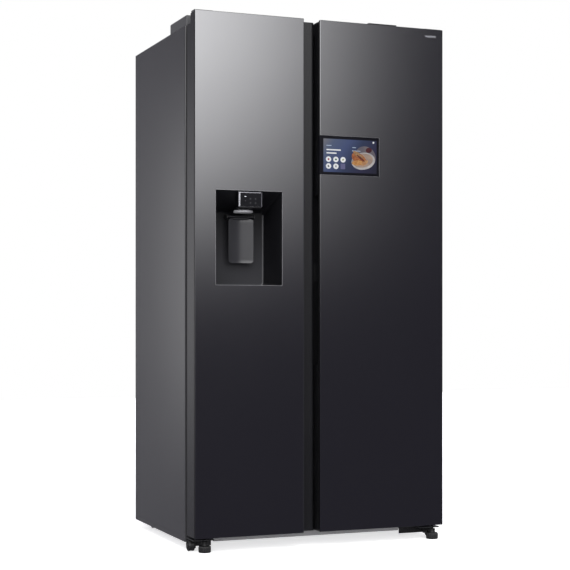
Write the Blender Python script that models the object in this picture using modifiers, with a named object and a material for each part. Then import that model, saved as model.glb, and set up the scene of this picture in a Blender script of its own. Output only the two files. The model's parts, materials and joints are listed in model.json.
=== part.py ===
"""Side-by-side refrigerator: freezer door with a water and ice dispenser on the left, fridge door with a
display on the right. Metres, +Z up. Origin on the floor at the middle of the footprint, -Y is the front."""

import math

import bmesh
import bpy
from mathutils import Matrix, Vector

# ---------------------------------------------------------------- driving dimensions
HALF_W = 0.456            # half of the overall width
Y_FRONT = -0.358          # outermost front surface (display glass)
Y_BACK = 0.358            # rearmost point (water and mains inlets)
DOOR_TOP = 1.788          # top edge of the steel door panels
DOOR_BOTTOM = 0.0515      # bottom edge of the steel door panels
CAP_TOP = 1.7838          # top of the plastic door cap behind the panel
NOTCH_TOP = 1.7515        # door top behind the cap, where the hinge arm sits
CASE_TOP = 1.754
CASE_BOTTOM = 0.028
GAP = 0.0003              # assembly gap between touching pieces
SHEET = 0.001             # sheet steel as modelled
PANEL_D = 0.010           # depth of the panel's folded edge
DOOR_D = 0.087            # front surface to the back of the door frame
CASE_D = 0.1087           # front surface to the front of the cabinet
LEFT_PANEL_R = -0.0705    # right edge of the left steel panel
LEFT_DOOR_R = -0.0195     # right edge of the left door behind its panel
RIGHT_DOOR_L = -0.0121    # left edge of the right door
RECESS_D = 0.041          # depth of the gap between the two steel panels
NOTCH_D = 0.050           # the door cap ends here
HINGE_X = 0.434           # hinge axes, left and right of the middle
HINGE_D = 0.064           # hinge axes, behind the front surface
GRIP_Z = (0.616, 1.195)
GRIP_WEB_Z = (0.9023, 0.9633)
DISPENSER_X = (-0.3845, -0.1494)
DISPENSER_Z = (0.886, 1.200)
DISPENSER_DEPTH = 0.115
DISPLAY_X = (-0.0121, 0.2092)
DISPLAY_Z = (1.2643, 1.3970)
FREEZER_X = (-0.406, -0.040)
FRIDGE_X = (0.008, 0.406)
CAVITY_Z = (0.135, 1.694)
CAVITY_BACK = 0.296
STEP_Y = 0.075            # the cavities' deep floor ends here, in front of the machine compartment
STEP_Z = 0.330
LINER_T = 0.0015
DRAWER_Y = -0.184         # fronts of the four drawers
ROLLER_R = 0.019
ROLLER_Z = 0.0205         # the front rollers clear the floor once the feet are wound down
FOOT_R = 0.021


def depth(d):
    """World Y of a point that lies d behind the front surface."""
    return Y_FRONT + d


for old in list(bpy.data.objects):
    bpy.data.objects.remove(old, do_unlink=True)

PARTS = bpy.data.collections.new("side_by_side_refrigerator")
CUTTERS = bpy.data.collections.new("cutters")
bpy.context.scene.collection.children.link(PARTS)
bpy.context.scene.collection.children.link(CUTTERS)
CUTTERS.hide_render = True


# ---------------------------------------------------------------- materials
def principled(name, color, roughness, metallic=0.0):
    mat = bpy.data.materials.new(name)
    mat.use_nodes = True
    shader = mat.node_tree.nodes["Principled BSDF"]
    shader.inputs["Base Color"].default_value = (*color, 1.0)
    shader.inputs["Roughness"].default_value = roughness
    shader.inputs["Metallic"].default_value = metallic
    mat.diffuse_color = (*color, 1.0)
    return mat


GRAPHITE = ((0.10, 0.10, 0.11), 0.32, 0.8)
CASE_GREY = ((0.16, 0.16, 0.17), 0.45, 0.3)
BLACK = ((0.02, 0.02, 0.022), 0.4, 0.0)
DARK = ((0.05, 0.05, 0.055), 0.5, 0.0)
WHITE = ((0.82, 0.83, 0.84), 0.4, 0.0)
GREY = ((0.45, 0.45, 0.46), 0.5, 0.0)
STEEL = ((0.55, 0.55, 0.56), 0.35, 1.0)
CLEAR = ((0.75, 0.82, 0.85), 0.1, 0.0)
COPPER = ((0.6, 0.3, 0.18), 0.35, 1.0)
FOAM = ((0.75, 0.68, 0.45), 0.9, 0.0)


# ---------------------------------------------------------------- modelling helpers
def add(name, mesh, look, origin=(0, 0, 0), parent=None, cutter=False):
    """Links a mesh whose points are relative to origin, and gives it a material of its own."""
    obj = bpy.data.objects.new(name, mesh)
    obj.location = origin
    if cutter:
        CUTTERS.objects.link(obj)
        obj.hide_render = True
        obj.display_type = "WIRE"
        return obj
    PARTS.objects.link(obj)
    mesh.materials.append(principled(name, *look))
    if parent is not None:
        obj.parent = parent
        obj.matrix_parent_inverse = Matrix.Translation(-parent.location)
    return obj


def cube_into(bm, lo, hi, origin=(0, 0, 0)):
    lo, hi, origin = Vector(lo), Vector(hi), Vector(origin)
    size = hi - lo
    place = Matrix.Translation((lo + hi) / 2 - origin) @ Matrix.Diagonal((*size, 1.0))
    return bmesh.ops.create_cube(bm, size=1.0, matrix=place)["verts"]


def finish_mesh(name, bm):
    mesh = bpy.data.meshes.new(name)
    bm.to_mesh(mesh)
    bm.free()
    return mesh


def box(name, lo, hi, look=GREY, origin=(0, 0, 0), parent=None, cutter=False, bevel=0.0):
    bm = bmesh.new()
    cube_into(bm, lo, hi, origin)
    if bevel:
        bmesh.ops.bevel(bm, geom=bm.edges[:], offset=bevel, segments=1, affect="EDGES")
    return add(name, finish_mesh(name, bm), look, origin, parent, cutter)


def cut_box(lo, hi):
    return box("cut", lo, hi, cutter=True)


def tapered(name, front, back, d0, d1, cutter=True, look=GREY):
    """A block whose front rectangle (x0, x1, z0, z1) at depth d0 differs from its back one at depth d1."""
    bm = bmesh.new()
    verts = cube_into(bm, (0, 0, 0), (1, 1, 1))
    for v in verts:
        x0, x1, z0, z1 = back if v.co.y > 0.5 else front
        v.co = Vector((x1 if v.co.x > 0.5 else x0, depth(d1 if v.co.y > 0.5 else d0), z1 if v.co.z > 0.5 else z0))
    return add(name, finish_mesh(name, bm), look, cutter=cutter)


AXES = {"X": Matrix.Rotation(math.pi / 2, 4, "Y"), "Y": Matrix.Rotation(-math.pi / 2, 4, "X"), "Z": Matrix.Identity(4)}


def rod(name, center, radius, length, axis="Z", sides=16, look=STEEL, origin=(0, 0, 0), parent=None, cutter=False, r2=None):
    """A closed cylinder or cone centred on center, along a world axis."""
    bm = bmesh.new()
    place = Matrix.Translation(Vector(center) - Vector(origin)) @ AXES[axis]
    bmesh.ops.create_cone(bm, cap_ends=True, cap_tris=False, segments=sides, radius1=radius,
                          radius2=radius if r2 is None else r2, depth=length, matrix=place)
    mesh = finish_mesh(name, bm)
    mesh.shade_smooth()
    mesh.set_sharp_from_angle(angle=math.radians(35))
    return add(name, mesh, look, origin, parent, cutter)


def outline(name, points, lo, hi, look=GREY, parent=None, cutter=False, axis="Z", origin=(0, 0, 0)):
    """A flat outline, filled and extruded from lo to hi along Z (or along X, with points as (y, z))."""
    curve = bpy.data.curves.new(name, "CURVE")
    curve.dimensions = "2D"
    curve.fill_mode = "BOTH"
    curve.extrude = (hi - lo) / 2
    spline = curve.splines.new("POLY")
    spline.points.add(len(points) - 1)
    for point, (a, b) in zip(spline.points, points):
        point.co = (a, b, 0, 1)
    spline.use_cyclic_u = True
    guide = bpy.data.objects.new(name + "_outline", curve)
    CUTTERS.objects.link(guide)
    bpy.context.view_layer.update()
    graph = bpy.context.evaluated_depsgraph_get()
    mesh = bpy.data.meshes.new_from_object(guide.evaluated_get(graph))
    bpy.data.objects.remove(guide, do_unlink=True)
    bm = bmesh.new()
    bm.from_mesh(mesh)
    bmesh.ops.remove_doubles(bm, verts=bm.verts[:], dist=1e-6)
    bmesh.ops.dissolve_limit(bm, angle_limit=0.001, verts=bm.verts[:], edges=bm.edges[:])
    move = Matrix.Translation(-Vector(origin)) @ Matrix.Translation((0, 0, (lo + hi) / 2))
    if axis == "X":
        turn = Matrix(((0, 0, 1, 0), (1, 0, 0, 0), (0, 1, 0, 0), (0, 0, 0, 1)))
        move = Matrix.Translation(-Vector(origin)) @ Matrix.Translation(((lo + hi) / 2, 0, 0)) @ turn
    bm.transform(move)
    bmesh.ops.recalc_face_normals(bm, faces=bm.faces[:])
    mesh.clear_geometry()
    mesh.materials.clear()
    bm.to_mesh(mesh)
    bm.free()
    mesh.name = name
    return add(name, mesh, look, origin, parent, cutter)


def arc(cx, cy, radius, start, end, steps):
    """Points on an arc, in degrees."""
    angles = [math.radians(start + (end - start) * i / steps) for i in range(steps + 1)]
    return [(cx + radius * math.cos(a), cy + radius * math.sin(a)) for a in angles]


def boolean(obj, operation, *others):
    for other in others:
        mod = obj.modifiers.new(operation.lower(), "BOOLEAN")
        mod.operation = operation
        mod.solver = "EXACT"
        mod.object = other
    return obj


def cut(obj, *others):
    return boolean(obj, "DIFFERENCE", *others)


def join(obj, *others):
    return boolean(obj, "UNION", *others)


def helper_box(lo, hi, origin=(0, 0, 0)):
    return box("joined", lo, hi, cutter=True, origin=origin)


def rounded_edge_box(lo, hi, radius, segments):
    """A block to be joined, whose upright edge at high X and low Y is rounded."""
    bm = bmesh.new()
    cube_into(bm, lo, hi)
    upright = [e for e in bm.edges if all(v.co.x > hi[0] - 1e-5 and v.co.y < lo[1] + 1e-5 for v in e.verts)]
    bmesh.ops.bevel(bm, geom=upright, offset=radius, segments=segments, profile=0.5, affect="EDGES")
    return add("joined", finish_mesh("joined", bm), GREY, cutter=True)


def helper_rod(center, radius, length, axis="Z", sides=16, r2=None):
    return rod("joined", center, radius, length, axis, sides, cutter=True, r2=r2)


def tray(name, lo, hi, wall, look, parent=None, origin=(0, 0, 0), open_face="+Z"):
    """An open box: a cube with one face removed, made a shell of even thickness inside its outer size."""
    bm = bmesh.new()
    cube_into(bm, lo, hi, origin)
    normal = {"+Z": (0, 0, 1), "+Y": (0, 1, 0), "-Y": (0, -1, 0), "-Z": (0, 0, -1)}[open_face]
    bm.normal_update()
    gone = [f for f in bm.faces if f.normal.dot(Vector(normal)) > 0.9]
    bmesh.ops.delete(bm, geom=gone, context="FACES")
    obj = add(name, finish_mesh(name, bm), look, origin, parent)
    shell = obj.modifiers.new("wall", "SOLIDIFY")
    shell.thickness = wall
    shell.offset = -1
    shell.use_even_offset = True
    return obj


def folded_sheet(name, points, z0, z1, thickness, look, parent=None):
    """A sheet folded along vertical lines: an open line of points extruded upwards, then given its thickness."""
    bm = bmesh.new()
    verts = [bm.verts.new((x, y, z0)) for x, y in points]
    edges = [bm.edges.new(pair) for pair in zip(verts, verts[1:])]
    grown = bmesh.ops.extrude_edge_only(bm, edges=edges)["geom"]
    bmesh.ops.translate(bm, vec=(0, 0, z1 - z0), verts=[g for g in grown if isinstance(g, bmesh.types.BMVert)])
    obj = add(name, finish_mesh(name, bm), look, parent=parent)
    shell = obj.modifiers.new("sheet", "SOLIDIFY")
    shell.thickness = thickness
    shell.offset = -1
    shell.use_even_offset = True
    return obj


def frame_ring(name, outer, inner, d0, d1, look, parent=None):
    """A rectangular ring (x0, x1, z0, z1) between two depths."""
    ring = box(name, (outer[0], depth(d0), outer[2]), (outer[1], depth(d1), outer[3]), look, parent=parent)
    return cut(ring, cut_box((inner[0], depth(d0) - 0.01, inner[2]), (inner[1], depth(d1) + 0.01, inner[3])))


def axis_empty(name, location):
    empty = bpy.data.objects.new(name, None)
    empty.location = location
    empty.empty_display_size = 0.05
    PARTS.objects.link(empty)
    return empty


CASE_FRONT = depth(CASE_D)
DOOR_BACK = depth(DOOR_D)
HINGE_Y = depth(HINGE_D)

FREEZER_DOOR = axis_empty("freezer_door_axis", (-HINGE_X, HINGE_Y, 0))
FRIDGE_DOOR = axis_empty("fridge_door_axis", (HINGE_X, HINGE_Y, 0))

# ---------------------------------------------------------------- cabinet
# The foam body is the wall of both compartments. Its rear foot is cut away for the machine compartment.
foam_side = HALF_W - SHEET - GAP
foam_front = CASE_FRONT + LINER_T + 2 * GAP
foam = box("insulation_body", (-foam_side, foam_front, 0.0735), (foam_side, 0.3562, CASE_TOP - SHEET - GAP), FOAM)
for x0, x1 in (FREEZER_X, FRIDGE_X):
    cut(foam, cut_box((x0, CASE_FRONT - 0.01, CAVITY_Z[0]), (x1, STEP_Y, CAVITY_Z[1])),
        cut_box((x0, 0.0, STEP_Z), (x1, CAVITY_BACK, CAVITY_Z[1])))
cut(foam, cut_box((-0.5, 0.130, 0.0), (0.5, 0.4, 0.272)))
for side in (-1, 1):      # relief for the side panels' rounded front corners
    xs = sorted((side * 0.4508, side * 0.47))
    cut(foam, cut_box((xs[0], CASE_FRONT - 0.01, 0.0), (xs[1], CASE_FRONT + 0.0046, 1.9)))

for side, name in ((-1, "side_panel_left"), (1, "side_panel_right")):
    r = 0.004
    corner = arc(HALF_W - r, CASE_FRONT + r, r, 0, -90, 3)
    line = [(HALF_W, 0.357)] + corner + [(0.438, CASE_FRONT)]
    line = [(side * x, y) for x, y in line]
    if side < 0:
        line.reverse()
    folded_sheet(name, line, CASE_BOTTOM, CASE_TOP, SHEET, CASE_GREY)

# The top sheet has a folded front lip between the two side panels.
top = box("top_panel", (-0.4547, CASE_FRONT + GAP, CASE_TOP - SHEET), (0.4547, 0.3572, CASE_TOP), CASE_GREY)
cut(top, cut_box((-0.46, CASE_FRONT - 0.01, 1.7), (-0.4376, CASE_FRONT + 0.0055, 1.8)),
    cut_box((0.4376, CASE_FRONT - 0.01, 1.7), (0.46, CASE_FRONT + 0.0055, 1.8)))
join(top, helper_box((-0.4374, CASE_FRONT + GAP, 1.7365), (0.4374, CASE_FRONT + GAP + SHEET, CASE_TOP - 0.0002)))

box("back_panel", (-0.4546, 0.3565, 0.274), (0.4546, 0.3575, CASE_TOP - SHEET - GAP), GREY)

# Base frame: front deck, side rails, stepped rear deck, front upright, two roller forks at the rear.
base = box("base_frame", (-0.4545, CASE_FRONT + 0.0046, 0.0700), (0.4545, 0.1300, 0.0730), STEEL)
for side in (-1, 1):
    xs = sorted((side * 0.4515, side * 0.4540))
    join(base, helper_box((xs[0], CASE_FRONT + 0.0060, 0.0300), (xs[1], 0.3400, 0.0715)))
join(base, helper_box((-0.4525, 0.1255, 0.0500), (0.4525, 0.1285, 0.0715)),
     helper_box((-0.4525, 0.1270, 0.0490), (0.4525, 0.3385, 0.0520)),
     helper_box((-0.4500, CASE_FRONT + 0.0016, 0.0310), (0.4500, CASE_FRONT + 0.0066, 0.0715)))
for side in (-1, 1):
    for inner in (0.3870, 0.4110):
        xs = sorted((side * inner, side * (inner + 0.002)))
        join(base, helper_box((xs[0], 0.288, 0.012), (xs[1], 0.312, 0.0505)))
    join(base, helper_rod((side * 0.4, 0.300, 0.020), 0.003, 0.0320, "X", 12))
# Post that carries the condenser fan's motor.
join(base, helper_box((0.0700, 0.2310, 0.0505), (0.0740, 0.2550, 0.1640)),
     helper_rod((0.0670, 0.243, 0.150), 0.011, 0.0100, "X", 12))


def liner(name, x0, x1, flange):
    """Thin compartment lining: a stepped open box with a flange that covers the foam's front."""
    g = GAP
    outer = box(name, (x0 + g, CASE_FRONT + 0.0003, CAVITY_Z[0] + g), (x1 - g, STEP_Y - g, CAVITY_Z[1] - g), WHITE)
    join(outer, helper_box((x0 + g, 0.001, STEP_Z + g), (x1 - g, CAVITY_BACK - g, CAVITY_Z[1] - g)),
         helper_box((flange[0], CASE_FRONT + 0.0003, flange[2]), (flange[1], CASE_FRONT + 0.0003 + LINER_T, flange[3])))
    t = g + LINER_T
    cut(outer, cut_box((x0 + t, CASE_FRONT - 0.01, CAVITY_Z[0] + t), (x1 - t, STEP_Y - t, CAVITY_Z[1] - t)),
        cut_box((x0 + t, 0.0005, STEP_Z + t), (x1 - t, CAVITY_BACK - t, CAVITY_Z[1] - t)))
    # Ledges that carry the upper drawer.
    for a, b in ((x0 + g + 0.0005, x0 + 0.028), (x1 - 0.028, x1 - g - 0.0005)):
        join(outer, helper_box((a, -0.175, 0.3325), (b, 0.215, 0.3440)))
    return outer


liner("freezer_liner", *FREEZER_X, (-0.4375, -0.0165, 0.0745, 1.7360))
liner("fridge_liner", *FRIDGE_X, (-0.0155, 0.4375, 0.0745, 1.7360))

box("base_strip", (-0.360, depth(0.0965), 0.0255), (0.331, depth(0.1084), 0.0460), GREY, bevel=0.002)

# Hinges. The upper arm reaches forward over the door's notch; the lower bracket also holds roller and foot.
FOOT_AT = {-1: (-0.408, depth(0.045)), 1: (0.430, depth(0.032))}
for side, word in ((-1, "left"), (1, "right")):
    hx = side * HINGE_X
    z0 = CASE_TOP + GAP
    # Arm outline about the pin: a round end, a slanted outer edge that the open door's cap clears, then the plate.
    pts = arc(0, 0, 0.0115, 150, 320, 8)
    pts += [(0.040, 0.030), (0.040, 0.045), (0.074, 0.058), (0.074, 0.208), (-0.0115, 0.208), (-0.0115, 0.050), (0.0106, 0.042)]
    pts = [(hx - side * x, HINGE_Y + y) for x, y in pts]
    arm = outline("top_hinge_" + word, pts, z0, z0 + 0.004, STEEL)
    join(arm, helper_rod((hx, HINGE_Y, z0 - 0.0105), 0.005, 0.025, "Z", 16))

    # Cover over the hinge plate: a shell open below, with a slot in its front wall for the arm.
    cx = sorted((side * 0.453, side * 0.335))
    cover = box("hinge_cover_" + word, (cx[0], depth(0.106), z0), (cx[1], depth(0.288), 1.7905), DARK)
    ix = sorted((side * 0.4505, side * 0.3375))
    sx = sorted((side * 0.4480, side * 0.3500))
    cut(cover, cut_box((ix[0], depth(0.1085), z0 - 0.01), (ix[1], depth(0.2855), 1.7885)),
        cut_box((sx[0], depth(0.100), z0 - 0.01), (sx[1], depth(0.110), z0 + 0.0048)))

    # Lower bracket.
    lx = sorted((side * 0.4520, side * 0.380))
    fx = sorted((side * 0.4520, side * (0.3365 if side > 0 else 0.3655)))
    low = box("bottom_hinge_" + word, (lx[0], depth(0.022 if side > 0 else 0.030), 0.0402), (lx[1], depth(0.1084), 0.0437), DARK)
    join(low, helper_box((fx[0], depth(0.1054), 0.0130), (fx[1], depth(0.1083), 0.0436)))
    ear = sorted((side * 0.4320, side * 0.4300))
    join(low, helper_box((ear[0], depth(0.072), 0.0110), (ear[1], depth(0.1060), 0.0410)),
         helper_rod((side * 0.4435, depth(0.0845), ROLLER_Z), 0.0030, 0.0250, "X", 12),
         helper_rod((hx, HINGE_Y, 0.0550), 0.0050, 0.0250, "Z", 16))
    fx0, fy0 = FOOT_AT[side]
    cut(low, rod("cut", (fx0, fy0, 0.042), 0.0056, 0.02, "Z", 16, cutter=True))
    # Levelling foot: ribbed cup on a threaded stem, free to travel down.
    foot = rod("front_foot_" + word, (fx0, fy0, 0.0110), FOOT_R, 0.0220, "Z", 24, BLACK, origin=(fx0, fy0, 0.0), r2=0.0190)
    join(foot, helper_rod((fx0, fy0, 0.0260), 0.0105, 0.0100, "Z", 12), helper_rod((fx0, fy0, 0.0350), 0.0050, 0.0290, "Z", 12))
    # Front roller, on the bracket's axle.
    roller_at = (side * 0.4445, depth(0.0845), ROLLER_Z)
    wheel = rod("front_roller_" + word, roller_at, ROLLER_R, 0.0200, "X", 24, BLACK, origin=roller_at)
    cut(wheel, rod("cut", roller_at, 0.0035, 0.05, "X", 12, cutter=True))
    rear_at = (side * 0.400, 0.300, 0.020)
    wheel = rod("rear_roller_" + word, rear_at, 0.020, 0.0200, "X", 24, BLACK, origin=rear_at)
    cut(wheel, rod("cut", rear_at, 0.0035, 0.05, "X", 12, cutter=True))

# ---------------------------------------------------------------- machine compartment
cover = box("machine_cover", (-0.4518, 0.3435, 0.0525), (0.4518, 0.3450, 0.2700), GREY)
for row in range(2):
    for i in range(7):
        x = -0.215 + 0.030 * i
        z = 0.085 + 0.085 * row
        cut(cover, cut_box((x, 0.33, z), (x + 0.012, 0.36, z + 0.060)))
for i in range(6):
    x = 0.135 + 0.030 * i
    cut(cover, cut_box((x, 0.33, 0.085), (x + 0.012, 0.36, 0.215)))
cut(cover, rod("cut", (-0.385, 0.345, 0.120), 0.0103, 0.03, "Y", 16, cutter=True),
    cut_box((0.3647, 0.33, 0.1997), (0.4053, 0.36, 0.2403)))

gland = rod("cord_gland", (-0.385, 0.3465, 0.120), 0.0100, 0.0220, "Y", 16, BLACK)
join(gland, helper_rod((-0.385, 0.3475, 0.120), 0.0150, 0.0040, "Y", 16))
cut(gland, rod("cut", (-0.385, 0.3465, 0.120), 0.0042, 0.05, "Y", 12, cutter=True))

valve = box("water_inlet_valve", (0.365, 0.305, 0.200), (0.405, 0.3500, 0.240), GREY, bevel=0.003)
join(valve, helper_rod((0.385, 0.3530, 0.220), 0.0120, 0.0100, "Y", 16))
cut(valve, rod("cut", (0.385, 0.3530, 0.220), 0.0060, 0.03, "Y", 12, cutter=True))


def turned(name, center, profile, look, steps=24):
    """A turned shape: the profile runs down the outer side from the top, at +X from the axis."""
    mesh = bpy.data.meshes.new(name)
    bm = bmesh.new()
    verts = [bm.verts.new((r, 0, z)) for r, z in profile]
    for pair in zip(verts, verts[1:]):
        bm.edges.new(pair)
    bm.to_mesh(mesh)
    bm.free()
    obj = add(name, mesh, look, center)
    screw = obj.modifiers.new("turn", "SCREW")
    screw.steps = steps
    screw.render_steps = steps
    screw.use_merge_vertices = True
    screw.merge_threshold = 0.0001
    screw.use_smooth_shade = True
    return obj


# Compressor: a welded steel pot with rounded shoulders on two mounting straps.
pot = [(0.0, 0.165)] + [(x, z) for x, z in arc(0.045, 0.125, 0.040, 90, 0, 4)] + [(0.089, 0.100), (0.089, 0.088)]
pot += [(0.085, 0.082)] + arc(0.055, 0.030, 0.030, 0, -90, 3) + [(0.0, 0.0)]
pump = turned("compressor", (-0.270, 0.235, 0.0655), pot, BLACK)
join(pump, helper_box((-0.365, 0.205, 0.0523), (-0.175, 0.265, 0.0700)))
cut(pump, cut_box((-0.335, 0.19, 0.04), (-0.205, 0.28, 0.0600)))

tray("drip_pan", (0.120, 0.160, 0.0523), (0.345, 0.325, 0.0850), 0.0020, DARK)

# Condenser: one bent tube running to and fro above the drip pan.
curve = bpy.data.curves.new("condenser_coil", "CURVE")
curve.dimensions = "3D"
curve.bevel_depth = 0.004
curve.bevel_resolution = 2
curve.use_fill_caps = True
runs = []
for i in range(6):
    z = 0.105 + 0.025 * i
    left, right = 0.150, 0.330
    row = [(left, z), (right, z)] if i % 2 == 0 else [(right, z), (left, z)]
    runs += row
    if i < 5:
        a, _ = row[1]
        out = 0.0125 if i % 2 == 0 else -0.0125
        runs += [(a + out * 0.7, z + 0.0037), (a + out, z + 0.0125), (a + out * 0.7, z + 0.0213)]
spline = curve.splines.new("POLY")
spline.points.add(len(runs) - 1)
for point, (x, z) in zip(spline.points, runs):
    point.co = (x, 0.243, z, 1)
coil = bpy.data.objects.new("condenser_coil", curve)
PARTS.objects.link(coil)
curve.materials.append(principled("condenser_coil", *COPPER))


def fan(name, center, axis, radius, hub, blades, thick, look):
    """A fan rotor: a hub with pitched blades, one solid, origin on its axis."""
    c = Vector(center)
    rotor = rod(name, center, hub, thick, axis, 16, look, origin=center)
    for i in range(blades):
        bm = bmesh.new()
        blade = cube_into(bm, (hub * 0.6, -0.42 * radius / 2, -0.0011), (radius, 0.42 * radius / 2, 0.0011))
        bmesh.ops.rotate(bm, verts=blade, cent=(0, 0, 0), matrix=Matrix.Rotation(math.radians(28), 3, "X"))
        turn = AXES[axis].to_3x3() @ Matrix.Rotation(2 * math.pi * i / blades, 3, "Z")
        bmesh.ops.rotate(bm, verts=blade, cent=(0, 0, 0), matrix=turn)
        join(rotor, add("joined", finish_mesh("joined", bm), look, c, cutter=True))
    return rotor


fan("condenser_fan", (0.0505, 0.243, 0.150), "X", 0.062, 0.018, 5, 0.022, DARK)

# ---------------------------------------------------------------- inside the compartments
plate = box("evaporator_cover", (-0.3990, 0.2320, 0.3345), (-0.0470, 0.2350, 1.4800), WHITE)
cut(plate, rod("cut", (-0.223, 0.2335, 1.330), 0.058, 0.02, "Y", 24, cutter=True))
join(plate, helper_rod((-0.223, 0.2335, 1.330), 0.0160, 0.0028, "Y", 12))
for i in range(3):
    bm = bmesh.new()
    arm = cube_into(bm, (0.010, -0.0012, -0.0025), (0.064, 0.0012, 0.0025))
    bmesh.ops.rotate(bm, verts=arm, cent=(0, 0, 0), matrix=Matrix.Rotation(math.radians(30 + 120 * i), 3, "Y"))
    join(plate, add("joined", finish_mesh("joined", bm), WHITE, (-0.223, 0.2335, 1.330), cutter=True))
fan("evaporator_fan", (-0.223, 0.2490, 1.330), "Y", 0.050, 0.015, 5, 0.018, WHITE)

evap = box("evaporator", (-0.385, 0.2420, 0.420), (-0.062, 0.2880, 0.720), STEEL)
for i in range(7):
    z = 0.440 + 0.036 * i
    cut(evap, cut_box((-0.371, 0.2410, z), (-0.076, 0.2760, z + 0.024)))


def shelf(name, x0, x1, y0, y1, z):
    """A glass plate in a front trim and a rear rail."""
    plate = box(name, (x0, y0, z), (x1, y1, z + 0.004), CLEAR)
    join(plate, helper_box((x0, y0, z - 0.012), (x1, y0 + 0.014, z + 0.007)),
         helper_box((x0, y1 - 0.010, z - 0.010), (x1, y1, z + 0.012)))
    return plate


FREEZER_IN = (FREEZER_X[0] + 0.0045, FREEZER_X[1] - 0.0045)
FRIDGE_IN = (FRIDGE_X[0] + 0.0045, FRIDGE_X[1] - 0.0045)
shelf("freezer_shelf_lower", *FREEZER_IN, -0.150, 0.228, 0.560)
shelf("freezer_shelf_upper", *FREEZER_IN, -0.150, 0.228, 0.960)
shelf("crisper_cover", *FRIDGE_IN, -0.150, 0.285, 0.560)
shelf("fridge_shelf_lower", *FRIDGE_IN, -0.150, 0.285, 0.920)
shelf("fridge_shelf_upper", *FRIDGE_IN, -0.150, 0.285, 1.290)

maker = box("ice_maker", (-0.385, -0.060, 1.585), (-0.065, 0.180, 1.6915), WHITE, bevel=0.004)
cut(maker, cut_box((-0.300, -0.045, 1.620), (-0.085, 0.165, 1.6860)), cut_box((-0.300, -0.08, 1.640), (-0.085, 0.0, 1.6800)))


def drawer(name, x0, x1, y1, z0, z1, look):
    """An open bin with a thicker front that has a finger lip."""
    body = tray(name, (x0, DRAWER_Y, z0), (x1, y1, z1), 0.0025, look, origin=((x0 + x1) / 2, DRAWER_Y, z0))
    join(body, helper_box((x0 + 0.0002, DRAWER_Y + 0.0002, z1 - 0.030), (x1 - 0.0002, DRAWER_Y + 0.0220, z1 - 0.0250)))
    return body


drawer("freezer_drawer_lower", -0.374, -0.064, 0.068, 0.1385, 0.3250, CLEAR)
drawer("freezer_drawer_upper", -0.374, -0.064, 0.222, 0.3450, 0.5350, CLEAR)
drawer("crisper_lower", 0.032, 0.374, 0.068, 0.1385, 0.3250, CLEAR)
drawer("crisper_upper", 0.032, 0.374, 0.268, 0.3450, 0.5350, CLEAR)

# ---------------------------------------------------------------- freezer door (left)
T = SHEET + GAP


def door_panel(name, x0, x1, door):
    """The steel front: a pan whose edges fold back, open behind."""
    return tray(name, (x0, depth(0.0005), DOOR_BOTTOM), (x1, depth(PANEL_D), DOOR_TOP), SHEET, GRAPHITE, parent=door, open_face="+Y")


panel = door_panel("freezer_door_panel", -HALF_W, LEFT_PANEL_R, FREEZER_DOOR)
cut(panel, cut_box((DISPENSER_X[0] - 0.003, -0.40, DISPENSER_Z[0] - 0.003), (DISPENSER_X[1] + 0.003, depth(0.008), DISPENSER_Z[1] + 0.003)))

edge = 0.0123             # the frame widens behind the panel's fold
z0, z1 = DOOR_BOTTOM + T, CAP_TOP
frame = box("freezer_door_frame", (-HALF_W + 0.0004, depth(edge), z0), (LEFT_PANEL_R - 0.0002, DOOR_BACK, z1), DARK, parent=FREEZER_DOOR)
join(frame, helper_box((-HALF_W + T + 0.0001, depth(T + 0.0005), z0), (LEFT_PANEL_R - T - 0.0001, depth(edge + 0.001), z1)),
     rounded_edge_box((LEFT_PANEL_R - 0.0010, depth(RECESS_D), z0), (LEFT_DOOR_R, DOOR_BACK, z1), 0.020, 6))
cut(frame, cut_box((-0.5, depth(NOTCH_D), NOTCH_TOP), (0.1, 0.0, 1.9)),
    cut_box((-0.0990, depth(0.013), GRIP_Z[0]), (-0.0600, depth(0.062), GRIP_Z[1])),
    cut_box((DISPENSER_X[0] - 0.003, depth(-0.01), 0.8717), (DISPENSER_X[1] + 0.003, depth(0.15), DISPENSER_Z[1] + 0.003)),
    rod("cut", (-HINGE_X, HINGE_Y, 1.7400), 0.0054, 0.040, "Z", 16, cutter=True),
    rod("cut", (-HINGE_X, HINGE_Y, 0.0550), 0.0054, 0.032, "Z", 16, cutter=True))

frame_ring("freezer_door_gasket", (-0.4300, -0.0225, 0.0850, 1.7350), (-0.4140, -0.0385, 0.1010, 1.7190), DOOR_D + 0.0003, CASE_D - 0.0004, DARK, FREEZER_DOOR)

inner = box("freezer_door_liner", (-0.4120, depth(DOOR_D + 0.0003), 0.1030), (-0.0405, depth(0.0970), 1.7170), WHITE, parent=FREEZER_DOOR)
join(inner, helper_box((-0.3930, depth(0.0950), 0.8660), (-0.1410, depth(0.1230), 1.2090)))
cut(inner, cut_box((DISPENSER_X[0] - 0.003, depth(0.08), 0.8717), (DISPENSER_X[1] + 0.003, depth(0.1186), DISPENSER_Z[1] + 0.003)))

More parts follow.
